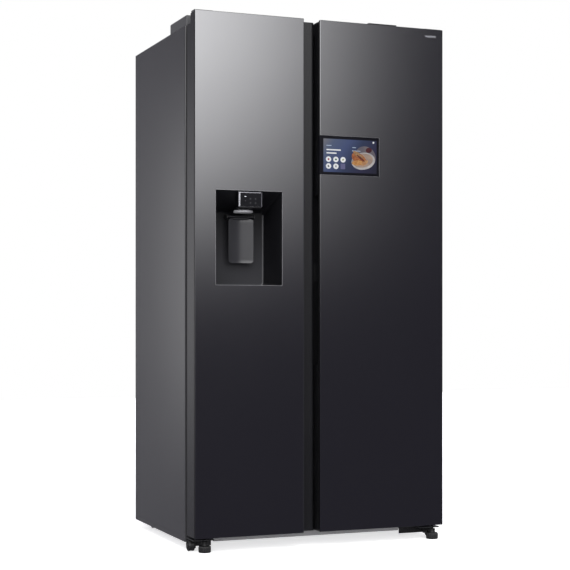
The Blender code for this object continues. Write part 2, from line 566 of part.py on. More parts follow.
# Dispenser housing: a block with a tapering recess, ears for the paddle, and room for block, spout and tray.
housing = box("dispenser_housing", (DISPENSER_X[0] - 0.0027, depth(0.0018), 0.8720), (DISPENSER_X[1] + 0.0027, depth(0.1183), DISPENSER_Z[1] + 0.0027), BLACK, parent=FREEZER_DOOR)
join(housing, helper_box((DISPENSER_X[0] - 0.0027, depth(0.0005), DISPENSER_Z[0] - 0.0027), (DISPENSER_X[1] + 0.0027, depth(0.0030), DISPENSER_Z[1] + 0.0027)))
mouth = (DISPENSER_X[0], DISPENSER_X[1], DISPENSER_Z[0], DISPENSER_Z[1])
rear = (-0.3590, -0.1750, DISPENSER_Z[0], 1.1395)
slope = 0.0030 / (DISPENSER_DEPTH - 0.0005)
ahead = tuple(m + (m - q) * slope for m, q in zip(mouth, rear))
cut(housing, tapered("cut", ahead, rear, -0.0025, DISPENSER_DEPTH))
CX = -0.267               # middle of the dispenser
cut(housing, cut_box((-0.3053, depth(-0.01), 1.1472), (-0.2167, depth(0.0383), 1.1958)),
    rod("cut", (CX, depth(0.060), 1.165), 0.0185, 0.026, "Z", 20, cutter=True),
    cut_box((-0.3583, depth(0.0097), 0.8757), (-0.1757, depth(0.1003), 0.9000)))
PIVOT = (CX, depth(0.084), 1.1180)
for x in (-0.3150, -0.2190):
    xs = (x - 0.002, x + 0.002)
    join(housing, helper_box((xs[0], depth(0.080), 1.1130), (xs[1], depth(0.1160), 1.1230)))
join(housing, helper_rod((CX, PIVOT[1], PIVOT[2]), 0.0018, 0.0980, "X", 10))

control = box("dispenser_control", (-0.3050, depth(0.0030), 1.1475), (-0.2170, depth(0.0380), 1.1955), BLACK, parent=FREEZER_DOOR, bevel=0.002)
ring = rod("dispenser_spout", (CX, depth(0.060), 1.1345), 0.0330, 0.0090, "Z", 28, STEEL, parent=FREEZER_DOOR)
join(ring, helper_rod((CX, depth(0.060), 1.1550), 0.0180, 0.0340, "Z", 20))
cut(ring, rod("cut", (CX, depth(0.060), 1.150), 0.0120, 0.070, "Z", 16, cutter=True))
grille = box("drip_grille", (-0.3580, depth(0.0100), 0.8760), (-0.1760, depth(0.1000), 0.8850), BLACK, parent=FREEZER_DOOR)
for i in range(7):
    x = -0.3480 + 0.0235 * i
    cut(grille, cut_box((x, depth(0.018), 0.8790), (x + 0.0160, depth(0.092), 0.90)))

# Paddle: a trough that hangs from its pivot; a bored barrel at the top.
half = 0.0440
sag = 0.0120
big = (half * half + sag * sag) / (2 * sag)
span = math.degrees(math.asin(half / big))
front_arc = [(CX + big * math.sin(math.radians(a)), depth(0.079) - big + sag + big * math.cos(math.radians(a))) for a in [span - 2 * span * i / 10 for i in range(11)]]
back_arc = [(x, y + 0.0030) for x, y in reversed(front_arc)]
paddle = outline("dispenser_paddle", front_arc + back_arc, 0.9620, 1.1200, DARK, origin=PIVOT, parent=FREEZER_DOOR)
cut(paddle, cut_box((-0.33, depth(0.06), 1.1070), (-0.20, depth(0.10), 1.13)))
join(paddle, helper_rod(PIVOT, 0.0042, 0.0880, "X", 12), helper_box((-0.2950, depth(0.0835), 1.1000), (-0.2390, depth(0.0900), 1.1160)))
cut(paddle, rod("cut", PIVOT, 0.0021, 0.120, "X", 10, cutter=True))

bucket = tray("ice_bucket", (-0.3850, depth(0.0973), 1.2350), (-0.0850, depth(0.1950), 1.5400), 0.0030, CLEAR, parent=FREEZER_DOOR)


def bin_(name, x0, x1, z0, z1, door, d1=0.185):
    return tray(name, (x0, depth(0.0973), z0), (x1, depth(d1), z1), 0.0030, CLEAR, parent=door)


bin_("freezer_door_bin", -0.3850, -0.0850, 0.6200, 0.7400, FREEZER_DOOR)

# ---------------------------------------------------------------- fridge door (right)
panel = door_panel("fridge_door_panel", RIGHT_DOOR_L, HALF_W, FRIDGE_DOOR)
display_cut = ((RIGHT_DOOR_L - 0.01, depth(-0.01), DISPLAY_Z[0] - GAP), (DISPLAY_X[1] + GAP, depth(0.0203), DISPLAY_Z[1] + GAP))
cut(panel, cut_box(*display_cut))
frame = box("fridge_door_frame", (RIGHT_DOOR_L + 0.0003, depth(edge), z0), (HALF_W - 0.0004, DOOR_BACK, z1), DARK, parent=FRIDGE_DOOR)
join(frame, helper_box((RIGHT_DOOR_L + T + 0.0001, depth(T + 0.0005), z0), (HALF_W - T - 0.0001, depth(edge + 0.001), z1)))
cut(frame, cut_box((-0.1, depth(NOTCH_D), NOTCH_TOP), (0.5, 0.0, 1.9)),
    cut_box((-0.05, depth(0.0157), GRIP_Z[0]), (0.0300, depth(0.062), GRIP_WEB_Z[0])),
    cut_box((-0.05, depth(0.0157), GRIP_WEB_Z[1]), (0.0300, depth(0.062), GRIP_Z[1])),
    cut_box((-0.05, depth(0.0157), GRIP_WEB_Z[0] - 0.001), (-0.0050, depth(0.062), GRIP_WEB_Z[1] + 0.001)),
    cut_box(*display_cut),
    rod("cut", (HINGE_X, HINGE_Y, 1.7400), 0.0054, 0.040, "Z", 16, cutter=True),
    rod("cut", (HINGE_X, HINGE_Y, 0.0550), 0.0054, 0.032, "Z", 16, cutter=True))
# Raised cover on the door's top cap, over the display's wiring.
join(frame, helper_box((0.178, depth(0.0180), CAP_TOP - 0.001), (0.284, depth(0.0460), 1.7950)))

box("display_module", (DISPLAY_X[0], depth(0.0), DISPLAY_Z[0]), (DISPLAY_X[1], depth(0.0200), DISPLAY_Z[1]), BLACK, parent=FRIDGE_DOOR)
frame_ring("fridge_door_gasket", (-0.0085, 0.4300, 0.0850, 1.7350), (0.0075, 0.4140, 0.1010, 1.7190), DOOR_D + 0.0003, CASE_D - 0.0004, DARK, FRIDGE_DOOR)
box("fridge_door_liner", (0.0095, depth(DOOR_D + 0.0003), 0.1030), (0.4120, depth(0.0970), 1.7170), WHITE, parent=FRIDGE_DOOR)
bin_("fridge_door_bin", 0.0480, 0.3920, 0.9600, 1.0800, FRIDGE_DOOR)
bin_("dairy_bin", 0.0480, 0.3920, 1.5000, 1.5900, FRIDGE_DOOR, 0.1650)
# Lid of the dairy bin, hinged along its edge at the door.
LID = (0.220, depth(0.1010), 1.5935)
lid = box("dairy_lid", (0.0480, depth(0.0990), 1.5910), (0.3920, depth(0.1650), 1.5940), CLEAR, origin=LID, parent=FRIDGE_DOOR)
join(lid, helper_box((0.0480, depth(0.1622), 1.5780), (0.3920, depth(0.1680), 1.5939)))
cut(lid, cut_box((0.04, depth(0.1500), 1.5700), (0.40, depth(0.1653), 1.5909)))
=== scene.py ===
"""Looks of the side-by-side refrigerator: materials, fine shapes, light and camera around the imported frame."""

import json
import math

import bmesh
import bpy
from mathutils import Matrix, Vector


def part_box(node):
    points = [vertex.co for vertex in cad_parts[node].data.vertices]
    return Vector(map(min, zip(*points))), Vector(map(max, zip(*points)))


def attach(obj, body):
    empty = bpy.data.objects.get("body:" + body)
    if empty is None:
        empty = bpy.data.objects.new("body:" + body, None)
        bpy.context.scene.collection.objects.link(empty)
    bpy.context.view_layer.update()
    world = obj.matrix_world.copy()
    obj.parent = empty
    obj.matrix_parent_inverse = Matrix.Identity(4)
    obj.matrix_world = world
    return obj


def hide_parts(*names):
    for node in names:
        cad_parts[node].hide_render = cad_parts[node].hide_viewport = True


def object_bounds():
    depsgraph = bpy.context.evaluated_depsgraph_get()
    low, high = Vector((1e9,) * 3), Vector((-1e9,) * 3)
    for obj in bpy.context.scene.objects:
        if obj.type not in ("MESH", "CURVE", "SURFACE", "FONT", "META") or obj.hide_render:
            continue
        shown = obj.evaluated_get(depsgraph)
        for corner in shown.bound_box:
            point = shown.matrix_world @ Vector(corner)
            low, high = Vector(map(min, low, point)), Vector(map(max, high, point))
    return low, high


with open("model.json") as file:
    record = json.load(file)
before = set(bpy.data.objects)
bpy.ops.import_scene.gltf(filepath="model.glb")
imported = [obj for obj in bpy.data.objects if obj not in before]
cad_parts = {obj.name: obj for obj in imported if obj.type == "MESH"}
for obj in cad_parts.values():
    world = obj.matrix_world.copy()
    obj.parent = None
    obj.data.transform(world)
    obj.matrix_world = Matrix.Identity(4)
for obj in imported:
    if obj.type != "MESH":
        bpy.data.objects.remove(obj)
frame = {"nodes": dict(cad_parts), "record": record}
CAD_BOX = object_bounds()
NODES = frame["nodes"]
SCENE = bpy.context.scene
YF = CAD_BOX[0].y                      # the front surface


def D(d):
    """World Y at a depth behind the front surface."""
    return YF + d


# ------------------------------------------------------------------ camera
cam_data = bpy.data.cameras.new("camera")
cam_data.sensor_width = 36.0
cam_data.lens = 91.66
cam_data.shift_x = -0.0351
cam_data.shift_y = 0.0619
cam_data.clip_end = 60.0
camera = bpy.data.objects.new("camera", cam_data)
camera.location = (-1.9307, -4.8874, 0.7692)
camera.rotation_euler = (math.radians(90), 0, math.radians(-22.365))
SCENE.collection.objects.link(camera)
SCENE.camera = camera
SCENE.view_settings.view_transform = "Standard"
SCENE.view_settings.look = "None"


# ------------------------------------------------------------------ materials
def material(name, color, rough, metal=0.0, var=0.06, patch=6.0, rough_var=0.04, grain=(1, 1, 1), grain_scale=600.0,
             bump=0.08, depth=0.0002, coat=0.0, coat_rough=0.06, spec=0.5, trans=0.0, ior=1.5, alpha=1.0, tint=None,
             emission=None, strength=0.0, sheen=0.0):
    """A Principled material: broad colour patches, fine grain in roughness and bump, both in the object's own metres."""
    mat = bpy.data.materials.new(name)
    mat.use_nodes = True
    nt = mat.node_tree
    sh = nt.nodes["Principled BSDF"]
    sh.inputs["Metallic"].default_value = metal
    sh.inputs["Specular IOR Level"].default_value = spec
    sh.inputs["IOR"].default_value = ior
    sh.inputs["Coat Weight"].default_value = coat
    sh.inputs["Coat Roughness"].default_value = coat_rough
    sh.inputs["Transmission Weight"].default_value = trans
    sh.inputs["Alpha"].default_value = alpha
    sh.inputs["Sheen Weight"].default_value = sheen
    where = nt.nodes.new("ShaderNodeTexCoord")
    broad = nt.nodes.new("ShaderNodeTexNoise")
    broad.inputs["Scale"].default_value = patch
    broad.inputs["Detail"].default_value = 3.0
    nt.links.new(where.outputs["Object"], broad.inputs["Vector"])
    ramp = nt.nodes.new("ShaderNodeValToRGB")
    ramp.color_ramp.elements[0].position = 0.3
    ramp.color_ramp.elements[1].position = 0.7
    second = tint or color
    ramp.color_ramp.elements[0].color = (*[max(0.0, c * (1 - var)) for c in color], 1)
    ramp.color_ramp.elements[1].color = (*[min(1.0, c * (1 + var)) for c in second], 1)
    nt.links.new(broad.outputs["Fac"], ramp.inputs["Fac"])
    nt.links.new(ramp.outputs["Color"], sh.inputs["Base Color"])
    stretch = nt.nodes.new("ShaderNodeMapping")
    stretch.inputs["Scale"].default_value = grain
    nt.links.new(where.outputs["Object"], stretch.inputs["Vector"])
    fine = nt.nodes.new("ShaderNodeTexNoise")
    fine.inputs["Scale"].default_value = grain_scale
    fine.inputs["Detail"].default_value = 4.0
    fine.inputs["Roughness"].default_value = 0.6
    nt.links.new(stretch.outputs["Vector"], fine.inputs["Vector"])
    span = nt.nodes.new("ShaderNodeMapRange")
    span.inputs["From Min"].default_value = 0.3
    span.inputs["From Max"].default_value = 0.7
    span.inputs["To Min"].default_value = max(0.02, rough - rough_var)
    span.inputs["To Max"].default_value = min(1.0, rough + rough_var)
    nt.links.new(fine.outputs["Fac"], span.inputs["Value"])
    nt.links.new(span.outputs["Result"], sh.inputs["Roughness"])
    if bump:
        relief = nt.nodes.new("ShaderNodeBump")
        relief.inputs["Strength"].default_value = bump
        relief.inputs["Distance"].default_value = depth
        nt.links.new(fine.outputs["Fac"], relief.inputs["Height"])
        nt.links.new(relief.outputs["Normal"], sh.inputs["Normal"])
    if emission:
        sh.inputs["Emission Color"].default_value = (*emission, 1)
        sh.inputs["Emission Strength"].default_value = strength
    mat.diffuse_color = (*color, 1)
    return mat


M = {
    # Dark steel skin: upright hairline brushing.
    "graphite_steel": material("graphite_steel", (0.190, 0.190, 0.194), 0.125, 1.0, var=0.03, patch=2.2, rough_var=0.02,
                               grain=(1, 1, 0.012), grain_scale=2200, bump=0.035, depth=0.00012, coat=0.0),
    "case_paint": material("case_paint", (0.032, 0.032, 0.034), 0.125, 0.0, var=0.04, patch=4, rough_var=0.03,
                           grain_scale=850, bump=0.10, depth=0.00012, spec=0.5),
    "strip_paint": material("strip_paint", (0.22, 0.22, 0.225), 0.42, 0.0, var=0.05, grain_scale=900, bump=0.08),
    "edge_plastic": material("edge_plastic", (0.0065, 0.0065, 0.0074), 0.24, 0.0, var=0.09, patch=9, grain_scale=1400, bump=0.10, depth=0.0001, spec=0.44),
    "grey_plastic": material("grey_plastic", (0.060, 0.060, 0.064), 0.42, 0.0, var=0.07, patch=14, grain_scale=1500, bump=0.20, depth=0.00012),
    "gloss_black": material("gloss_black", (0.006, 0.006, 0.0072), 0.16, 0.0, var=0.15, patch=8, rough_var=0.03, grain_scale=300, bump=0.02, depth=0.0001, spec=0.08),
    # Painted shade: the recess back wall's black, lighter than the walls; its colour ramp is reset below to run darker
    # towards the top.
    "recess_back_painted_shade": material("recess_back_painted_shade", (0.017, 0.017, 0.019), 0.34, 0.0, var=0.10, patch=9, rough_var=0.04, grain_scale=900, bump=0.05, depth=0.0001, spec=0.12),
    "recess_black": material("recess_black", (0.0045, 0.0045, 0.0055), 0.30, 0.0, var=0.12, patch=10, rough_var=0.04, grain_scale=900, bump=0.05, depth=0.0001),
    "paddle_plastic": material("paddle_plastic", (0.024, 0.024, 0.027), 0.30, 0.0, var=0.08, patch=15, grain_scale=1300, bump=0.08, depth=0.0001),
    "black_plastic": material("black_plastic", (0.0065, 0.0065, 0.007), 0.50, 0.0, var=0.15, patch=20, grain_scale=1400, bump=0.22, depth=0.00015),
    "satin_silver": material("satin_silver", (0.62, 0.62, 0.64), 0.22, 1.0, var=0.03, patch=12, rough_var=0.04, grain_scale=900, bump=0.04, depth=0.0001),
    "display_glass": material("display_glass", (0.005, 0.005, 0.007), 0.07, 0.0, var=0.15, patch=6, rough_var=0.02, grain_scale=60, bump=0.01, depth=0.0001, spec=0.10),
    "white_plastic": material("white_plastic", (0.74, 0.76, 0.78), 0.28, 0.0, var=0.025, patch=3, rough_var=0.05, grain_scale=500, bump=0.05, depth=0.00015),
    "grey_vent": material("grey_vent", (0.42, 0.43, 0.45), 0.32, 0.0, var=0.04, patch=5, grain_scale=700, bump=0.06),
    "clear_plastic": material("clear_plastic", (0.80, 0.86, 0.90), 0.10, 0.0, var=0.03, patch=7, rough_var=0.03, grain_scale=350, bump=0.03, depth=0.0001, trans=0.82, ior=1.45),
    "frost_plastic": material("frost_plastic", (0.72, 0.80, 0.86), 0.38, 0.0, var=0.03, patch=7, rough_var=0.05, grain_scale=900, bump=0.08, depth=0.0001, trans=0.45, ior=1.45),
    "shelf_glass": material("shelf_glass", (0.84, 0.93, 0.91), 0.05, 0.0, var=0.02, patch=4, rough_var=0.02, grain_scale=80, bump=0.01, depth=0.0001, trans=0.92, ior=1.5),
    "gasket_rubber": material("gasket_rubber", (0.075, 0.075, 0.08), 0.62, 0.0, var=0.08, patch=18, grain_scale=1200, bump=0.18, depth=0.00015),
    "galvanised_steel": material("galvanised_steel", (0.52, 0.53, 0.54), 0.40, 1.0, var=0.16, patch=45, rough_var=0.10, grain_scale=130, bump=0.05, depth=0.0001),
    "black_steel": material("black_steel", (0.014, 0.014, 0.015), 0.30, 0.0, var=0.12, patch=12, grain_scale=500, bump=0.10, depth=0.0002),
    "copper_tube": material("copper_tube", (0.66, 0.30, 0.17), 0.30, 1.0, var=0.12, patch=30, rough_var=0.10, grain_scale=300, bump=0.06, tint=(0.55, 0.27, 0.16)),
    "aluminium_fin": material("aluminium_fin", (0.72, 0.73, 0.74), 0.34, 1.0, var=0.05, patch=20, grain=(1, 1, 0.05), grain_scale=1500, bump=0.10),
    "foam": material("foam", (0.68, 0.60, 0.36), 0.92, 0.0, var=0.10, patch=25, grain_scale=500, bump=0.5, depth=0.0008),
    "control_silver": material("control_silver", (0.34, 0.34, 0.36), 0.24, 1.0, var=0.03, patch=20, grain_scale=900, bump=0.04, depth=0.0001),
    "joint_black": material("joint_black", (0.003, 0.003, 0.0032), 0.60, 0.0, var=0.15, patch=20, grain_scale=1200, bump=0.15, depth=0.0001, spec=0.15),
    "spout_grey": material("spout_grey", (0.34, 0.34, 0.355), 0.42, 0.25, var=0.04, patch=25, grain_scale=900, bump=0.05, depth=0.0001),
    # Painted highlight: a lighter grey for the recess's corner faces that turn to the front left, towards the key
    # light.
    "recess_corner_painted_highlight": material("recess_corner_painted_highlight", (0.070, 0.070, 0.074), 0.30, 0.0, var=0.10, patch=9, grain_scale=900, bump=0.05, depth=0.0001),
    "touch_spot": material("touch_spot", (0.013, 0.013, 0.015), 0.25, 0.0, var=0.05, grain_scale=500, bump=0.02),
    "blue_plastic": material("blue_plastic", (0.05, 0.16, 0.42), 0.40, 0.0, var=0.06, patch=30, grain_scale=900, bump=0.08),
    "trim_line": material("trim_line", (0.30, 0.30, 0.31), 0.30, 0.7, var=0.05, patch=10, grain_scale=800, bump=0.03, depth=0.0001),
}
# Painted shade: the recess's back wall is coloured darker towards its top, where the ceiling and the control block
# shade it.
shade = M["recess_back_painted_shade"].node_tree
height = shade.nodes.new("ShaderNodeSeparateXYZ")
shade.links.new(next(n for n in shade.nodes if n.type == "TEX_COORD").outputs["Object"], height.inputs[0])
reach = shade.nodes.new("ShaderNodeMapRange")
reach.inputs["From Min"].default_value = 0.890
reach.inputs["From Max"].default_value = 1.135
shade.links.new(height.outputs["Z"], reach.inputs["Value"])
painted_shade_ramp = next(n for n in shade.nodes if n.type == "VALTORGB")
shade.links.new(reach.outputs["Result"], painted_shade_ramp.inputs["Fac"])
painted_shade_ramp.color_ramp.elements[0].position = 0.0
painted_shade_ramp.color_ramp.elements[0].color = (0.034, 0.034, 0.038, 1)
painted_shade_ramp.color_ramp.elements[1].position = 1.0
painted_shade_ramp.color_ramp.elements[1].color = (0.0035, 0.0035, 0.0042, 1)
LIGHTS = {
    "led_white": material("led_white", (0.85, 0.88, 0.92), 0.4, var=0.02, grain_scale=200, bump=0.02, emission=(0.92, 0.96, 1.0), strength=1.6),
    "led_dash": material("led_dash", (0.8, 0.82, 0.85), 0.4, var=0.02, grain_scale=400, bump=0.02, emission=(0.9, 0.95, 1.0), strength=0.75),
}


# ------------------------------------------------------------------ mesh helpers
PIECES = []


def make(name, bm, body, mat, slot=None, stands_for=(), angle=32, closed=True):
    if closed:
        bmesh.ops.recalc_face_normals(bm, faces=bm.faces[:])
    mesh = bpy.data.meshes.new(name)
    bm.to_mesh(mesh)
    bm.free()
    mesh.materials.append(M[mat] if isinstance(mat, str) else mat)
    mesh.shade_smooth()
    mesh.set_sharp_from_angle(angle=math.radians(angle))
    obj = bpy.data.objects.new(name, mesh)
    SCENE.collection.objects.link(obj)
    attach(obj, body)
    PIECES.append(obj)
    if stands_for:
        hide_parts(*stands_for)
    return obj


def block(bm, lo, hi, r=0.0, seg=2, which=None):
    """A box with rounded edges, added to bm. which(edge) picks the edges that are rounded."""
    lo, hi = Vector(lo), Vector(hi)
    place = Matrix.Translation((lo + hi) / 2) @ Matrix.Diagonal((*(hi - lo), 1.0))
    part = bmesh.new()
    bmesh.ops.create_cube(part, size=1.0, matrix=place)
    if r:
        edges = [e for e in part.edges if which is None or which(e)]
        bmesh.ops.bevel(part, geom=edges, offset=r, segments=seg, profile=0.5, affect="EDGES")
    temp = bpy.data.meshes.new("temp")
    part.to_mesh(temp)
    part.free()
    bm.from_mesh(temp)
    bpy.data.meshes.remove(temp)
    return bm


def rbox(name, lo, hi, r, body, mat, seg=3, which=None, **more):
    return make(name, block(bmesh.new(), lo, hi, r, seg, which), body, mat, **more)


def upright(e):
    a, b = e.verts
    return abs(a.co.x - b.co.x) < 1e-5 and abs(a.co.y - b.co.y) < 1e-5


def rrect(x0, x1, z0, z1, r, n=5):
    """Points round a rectangle with round corners, in the plane of the doors."""
    pts = []
    for cx, cz, start in ((x1 - r, z1 - r, 0), (x0 + r, z1 - r, 90), (x0 + r, z0 + r, 180), (x1 - r, z0 + r, 270)):
        for i in range(n + 1):
            a = math.radians(start + 90 * i / n)
            pts.append((cx + r * math.cos(a), cz + r * math.sin(a)))
    return pts


def loft(bm, rings, cap_first=False, cap_last=False, cyclic=True):
    """Faces between rings of equal length."""
    verts = [[bm.verts.new(p) for p in ring] for ring in rings]
    for a, b in zip(verts, verts[1:]):
        count = len(a)
        for i in range(count if cyclic else count - 1):
            j = (i + 1) % count
            bm.faces.new((a[i], a[j], b[j], b[i]))
    if cap_first:
        bm.faces.new(verts[0][::-1])
    if cap_last:
        bm.faces.new(verts[-1])
    return verts


def lathe(bm, profile, center, axis="Z", steps=48, ripple=None):
    """Turns a closed or open (radius, height) profile round an axis through center. ripple(angle, radius, height) adds to the radius."""
    turn = {"Z": Matrix.Identity(3), "X": Matrix.Rotation(math.pi / 2, 3, "Y"), "Y": Matrix.Rotation(-math.pi / 2, 3, "X")}[axis]
    c = Vector(center)
    rings = []
    for i in range(steps):
        a = 2 * math.pi * i / steps
        ring = []
        for r, h in profile:
            rr = r + (ripple(a, r, h) if ripple else 0.0)
            ring.append(c + turn @ Vector((rr * math.cos(a), rr * math.sin(a), h)))
        rings.append(ring)
    verts = [[bm.verts.new(p) for p in ring] for ring in rings]
    for i in range(steps):
        a, b = verts[i], verts[(i + 1) % steps]
        for k in range(len(profile) - 1):
            bm.faces.new((a[k], b[k], b[k + 1], a[k + 1]))
    bmesh.ops.remove_doubles(bm, verts=bm.verts[:], dist=1e-6)
    bm.faces.ensure_lookup_table()
    return bm


def disc(bm, center, radius, thick, axis="Y", steps=24, dome=0.0):
    """A flat button with a soft edge, for screw heads, caps and icons. Thickness runs towards -axis from center."""
    e = min(radius * 0.2, thick * 0.6)
    profile = [(0.0001, 0.0), (radius, 0.0), (radius, -(thick - e)), (radius - e * 0.3, -(thick - e * 0.3)), (radius - e, -thick), (radius * 0.5, -thick - dome * 0.75), (0.0001, -thick - dome)]
    return lathe(bm, profile, center, axis, steps)


def solidify(obj, t, offset=-1.0):
    mod = obj.modifiers.new("wall", "SOLIDIFY")
    mod.thickness = t
    mod.offset = offset
    mod.use_even_offset = True
    return obj


def applied(obj, *cutters):
    """Replaces the piece's mesh by what its modifiers make, and removes the cutters."""
    bpy.context.view_layer.update()
    graph = bpy.context.evaluated_depsgraph_get()
    mesh = bpy.data.meshes.new_from_object(obj.evaluated_get(graph))
    obj.modifiers.clear()
    obj.data = mesh
    mesh.shade_smooth()
    mesh.set_sharp_from_angle(angle=math.radians(32))
    for c in cutters:
        bpy.data.objects.remove(c, do_unlink=True)
    return obj


def carve(obj, *bms):
    """Cuts closed meshes out of a piece."""
    cutters = []
    for bm in bms:
        bmesh.ops.recalc_face_normals(bm, faces=bm.faces[:])
        mesh = bpy.data.meshes.new("cutter")
        bm.to_mesh(mesh)
        bm.free()
        cutter = bpy.data.objects.new("cutter", mesh)
        SCENE.collection.objects.link(cutter)
        cutters.append(cutter)
        mod = obj.modifiers.new("cut", "BOOLEAN")
        mod.operation = "DIFFERENCE"
        mod.solver = "EXACT"
        mod.object = cutter
    return applied(obj, *cutters)


def prism(bm, ring, y0, y1):
    """A closed prism between two depths from points (x, z)."""
    loft(bm, [[(x, y0, z) for x, z in ring], [(x, y1, z) for x, z in ring]], True, True)
    return bm


# ------------------------------------------------------------------ CAD nodes keep their shape and get their finish
SOFT_EDGE = {
    "side_panel_left": 0, "side_panel_right": 0, "top_panel": 0.0003, "back_panel": 0, "insulation_body": 0, "base_frame": 0.0003,
    "freezer_door_frame": 0.0008, "fridge_door_frame": 0.0008, "machine_cover": 0.0003, "compressor": 0, "condenser_coil": 0,
    "evaporator": 0.0006, "evaporator_cover": 0.0006, "ice_maker": 0.0008, "base_strip": 0.0006, "drip_pan": 0.0005, "cord_gland": 0.0005,
    "water_inlet_valve": 0.0008, "evaporator_fan": 0.0004, "condenser_fan": 0.0004,
}
MATS = {s["node"]: s["material_slot"] for s in frame["record"]["subparts"]}
for name, obj in NODES.items():
    obj.data.materials.clear()
    obj.data.materials.append(M[MATS[name]])
    weld = obj.modifiers.new("weld", "WELD")
    weld.merge_threshold = 0.000005
    flat = obj.modifiers.new("flat", "DECIMATE")
    flat.decimate_type = "DISSOLVE"
    flat.angle_limit = math.radians(0.5)
    width = SOFT_EDGE.get(name, 0.0004)
    if width:
        bevel = obj.modifiers.new("edge", "BEVEL")
        bevel.width = width
        bevel.segments = 2
        bevel.limit_method = "ANGLE"
        bevel.angle_limit = math.radians(40)
    smooth = obj.modifiers.new("normals", "WEIGHTED_NORMAL")
    smooth.keep_sharp = True
    obj.data.shade_smooth()


# ------------------------------------------------------------------ door skins
def ring_frame(bm, x0, x1, z0, z1, r, section, n=5):
    """A closed moulding round a rectangle: section is a closed list of (grow, y)."""
    rings = [[(x, y, z) for x, z in rrect(x0 - g, x1 + g, z0 - g, z1 + g, max(0.0004, r + g), n)] for g, y in section]
    loft(bm, rings + rings[:1])
    bmesh.ops.remove_doubles(bm, verts=bm.verts[:], dist=1e-7)
    return bm


def rim_frame(bm, x0, x1, y0, y1, r, section, n=4):
    """The same, lying flat: section is a closed list of (grow, z)."""
    rings = [[(x, y, z) for x, y in rrect(x0 - g, x1 + g, y0 - g, y1 + g, max(0.0004, r + g), n)] for g, z in section]
    loft(bm, rings + rings[:1])
    bmesh.ops.remove_doubles(bm, verts=bm.verts[:], dist=1e-7)
    return bm


def face_inward(bm, target):
    """Turns an open cup's faces towards a point inside it."""
    bmesh.ops.recalc_face_normals(bm, faces=bm.faces[:])
    bm.normal_update()
    score = sum((Vector(target) - f.calc_center_median()).dot(f.normal) * f.calc_area() for f in bm.faces)
    if score < 0:
        bmesh.ops.reverse_faces(bm, faces=bm.faces[:])
    return bm


def open_block(bm, lo, hi, r, seg, open_axis, sign):
    """A rounded box without one face; the edges of the open face stay sharp."""
    edge = hi[open_axis] if sign > 0 else lo[open_axis]
    block(bm, lo, hi, r, seg, which=lambda e: not all(abs(v.co[open_axis] - edge) < 1e-5 for v in e.verts))
    gone = [f for f in bm.faces if all(abs(v.co[open_axis] - edge) < 1e-5 for v in f.verts)]
    bmesh.ops.delete(bm, geom=gone, context="FACES")
    return bm


disp_lo, disp_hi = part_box("dispenser_housing")
DX0, DX1, DZ0, DZ1 = disp_lo.x + 0.0027, disp_hi.x - 0.0027, disp_lo.z + 0.0140, disp_hi.z - 0.0027
glass_lo, glass_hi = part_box("display_module")


def skin(name, node, body, *holes):
    lo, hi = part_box(node)
    bm = open_block(bmesh.new(), lo, (hi.x, lo.y + 0.0032, hi.z), 0.0020, 4, 1, 1)
    obj = make(name, bm, body, "graphite_steel", stands_for=(node,), closed=False)
    solidify(obj, 0.0009)
    return carve(obj, *holes)


skin("freezer_door_skin", "freezer_door_panel", "freezer_door",
     prism(bmesh.new(), rrect(DX0 - 0.0012, DX1 + 0.0012, DZ0 - 0.0012, DZ1 + 0.0012, 0.0032), YF - 0.02, D(0.0085)))
skin("fridge_door_skin", "fridge_door_panel", "fridge_door",
     block(bmesh.new(), (glass_lo.x - 0.02, YF - 0.02, glass_lo.z - 0.0006), (glass_hi.x + 0.0006, D(0.0203), glass_hi.z + 0.0006)))
frz_lo, frz_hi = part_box("freezer_door_panel")
frg_lo, frg_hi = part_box("fridge_door_panel")

# Shadow joint between the steel skins and the plastic of the doors.
for body, lo, hi in (("freezer_door", frz_lo, frz_hi), ("fridge_door", frg_lo, frg_hi)):
    make(body + "_skin_joint", ring_frame(bmesh.new(), lo.x, hi.x, lo.z, hi.z, 0.002,
         [(-0.0005, lo.y + 0.0030), (-0.0012, lo.y + 0.0030), (-0.0012, hi.y + 0.0020), (-0.0005, hi.y + 0.0020)]), body, "joint_black", slot="gasket_rubber")

# Raised thumb rest on the freezer skin's edge, at the top of the grip.
bm = bmesh.new()
rings = []
for k in range(9):
    t = k / 8
    swell = 0.0044 * math.sin(math.pi * t) ** 2
    z = 1.151 + 0.034 * t
    rings.append([(frz_hi.x - 0.0012, frz_lo.y + 0.0012, z), (frz_hi.x + swell * 0.8, frz_lo.y + 0.0014, z), (frz_hi.x + swell, frz_lo.y + 0.0030, z),
                  (frz_hi.x + swell, frz_hi.y, z), (frz_hi.x - 0.0012, frz_hi.y, z)])
loft(bm, rings, True, True)
make("grip_thumb_rest", bm, "freezer_door", "graphite_steel")

# Grip pockets: a smooth liner strip on the inner lip of each pocket, and the small stop in the right one.
for name, body, x0, x1, z0, z1 in (("grip_lip_left", "freezer_door", frz_hi.x - 0.0280, frz_hi.x - 0.0016, 0.618, 1.193),
                                   ("grip_lip_right_low", "fridge_door", frg_lo.x + 0.0016, frg_lo.x + 0.0400, 0.618, 0.900),
                                   ("grip_lip_right_up", "fridge_door", frg_lo.x + 0.0016, frg_lo.x + 0.0400, 0.9655, 1.193)):
    rbox(name, (x0, D(0.0131) if "left" in name else D(0.0158), z0), (x1, D(0.0138) if "left" in name else D(0.0165), z1), 0.0003, body, "edge_plastic", seg=2)

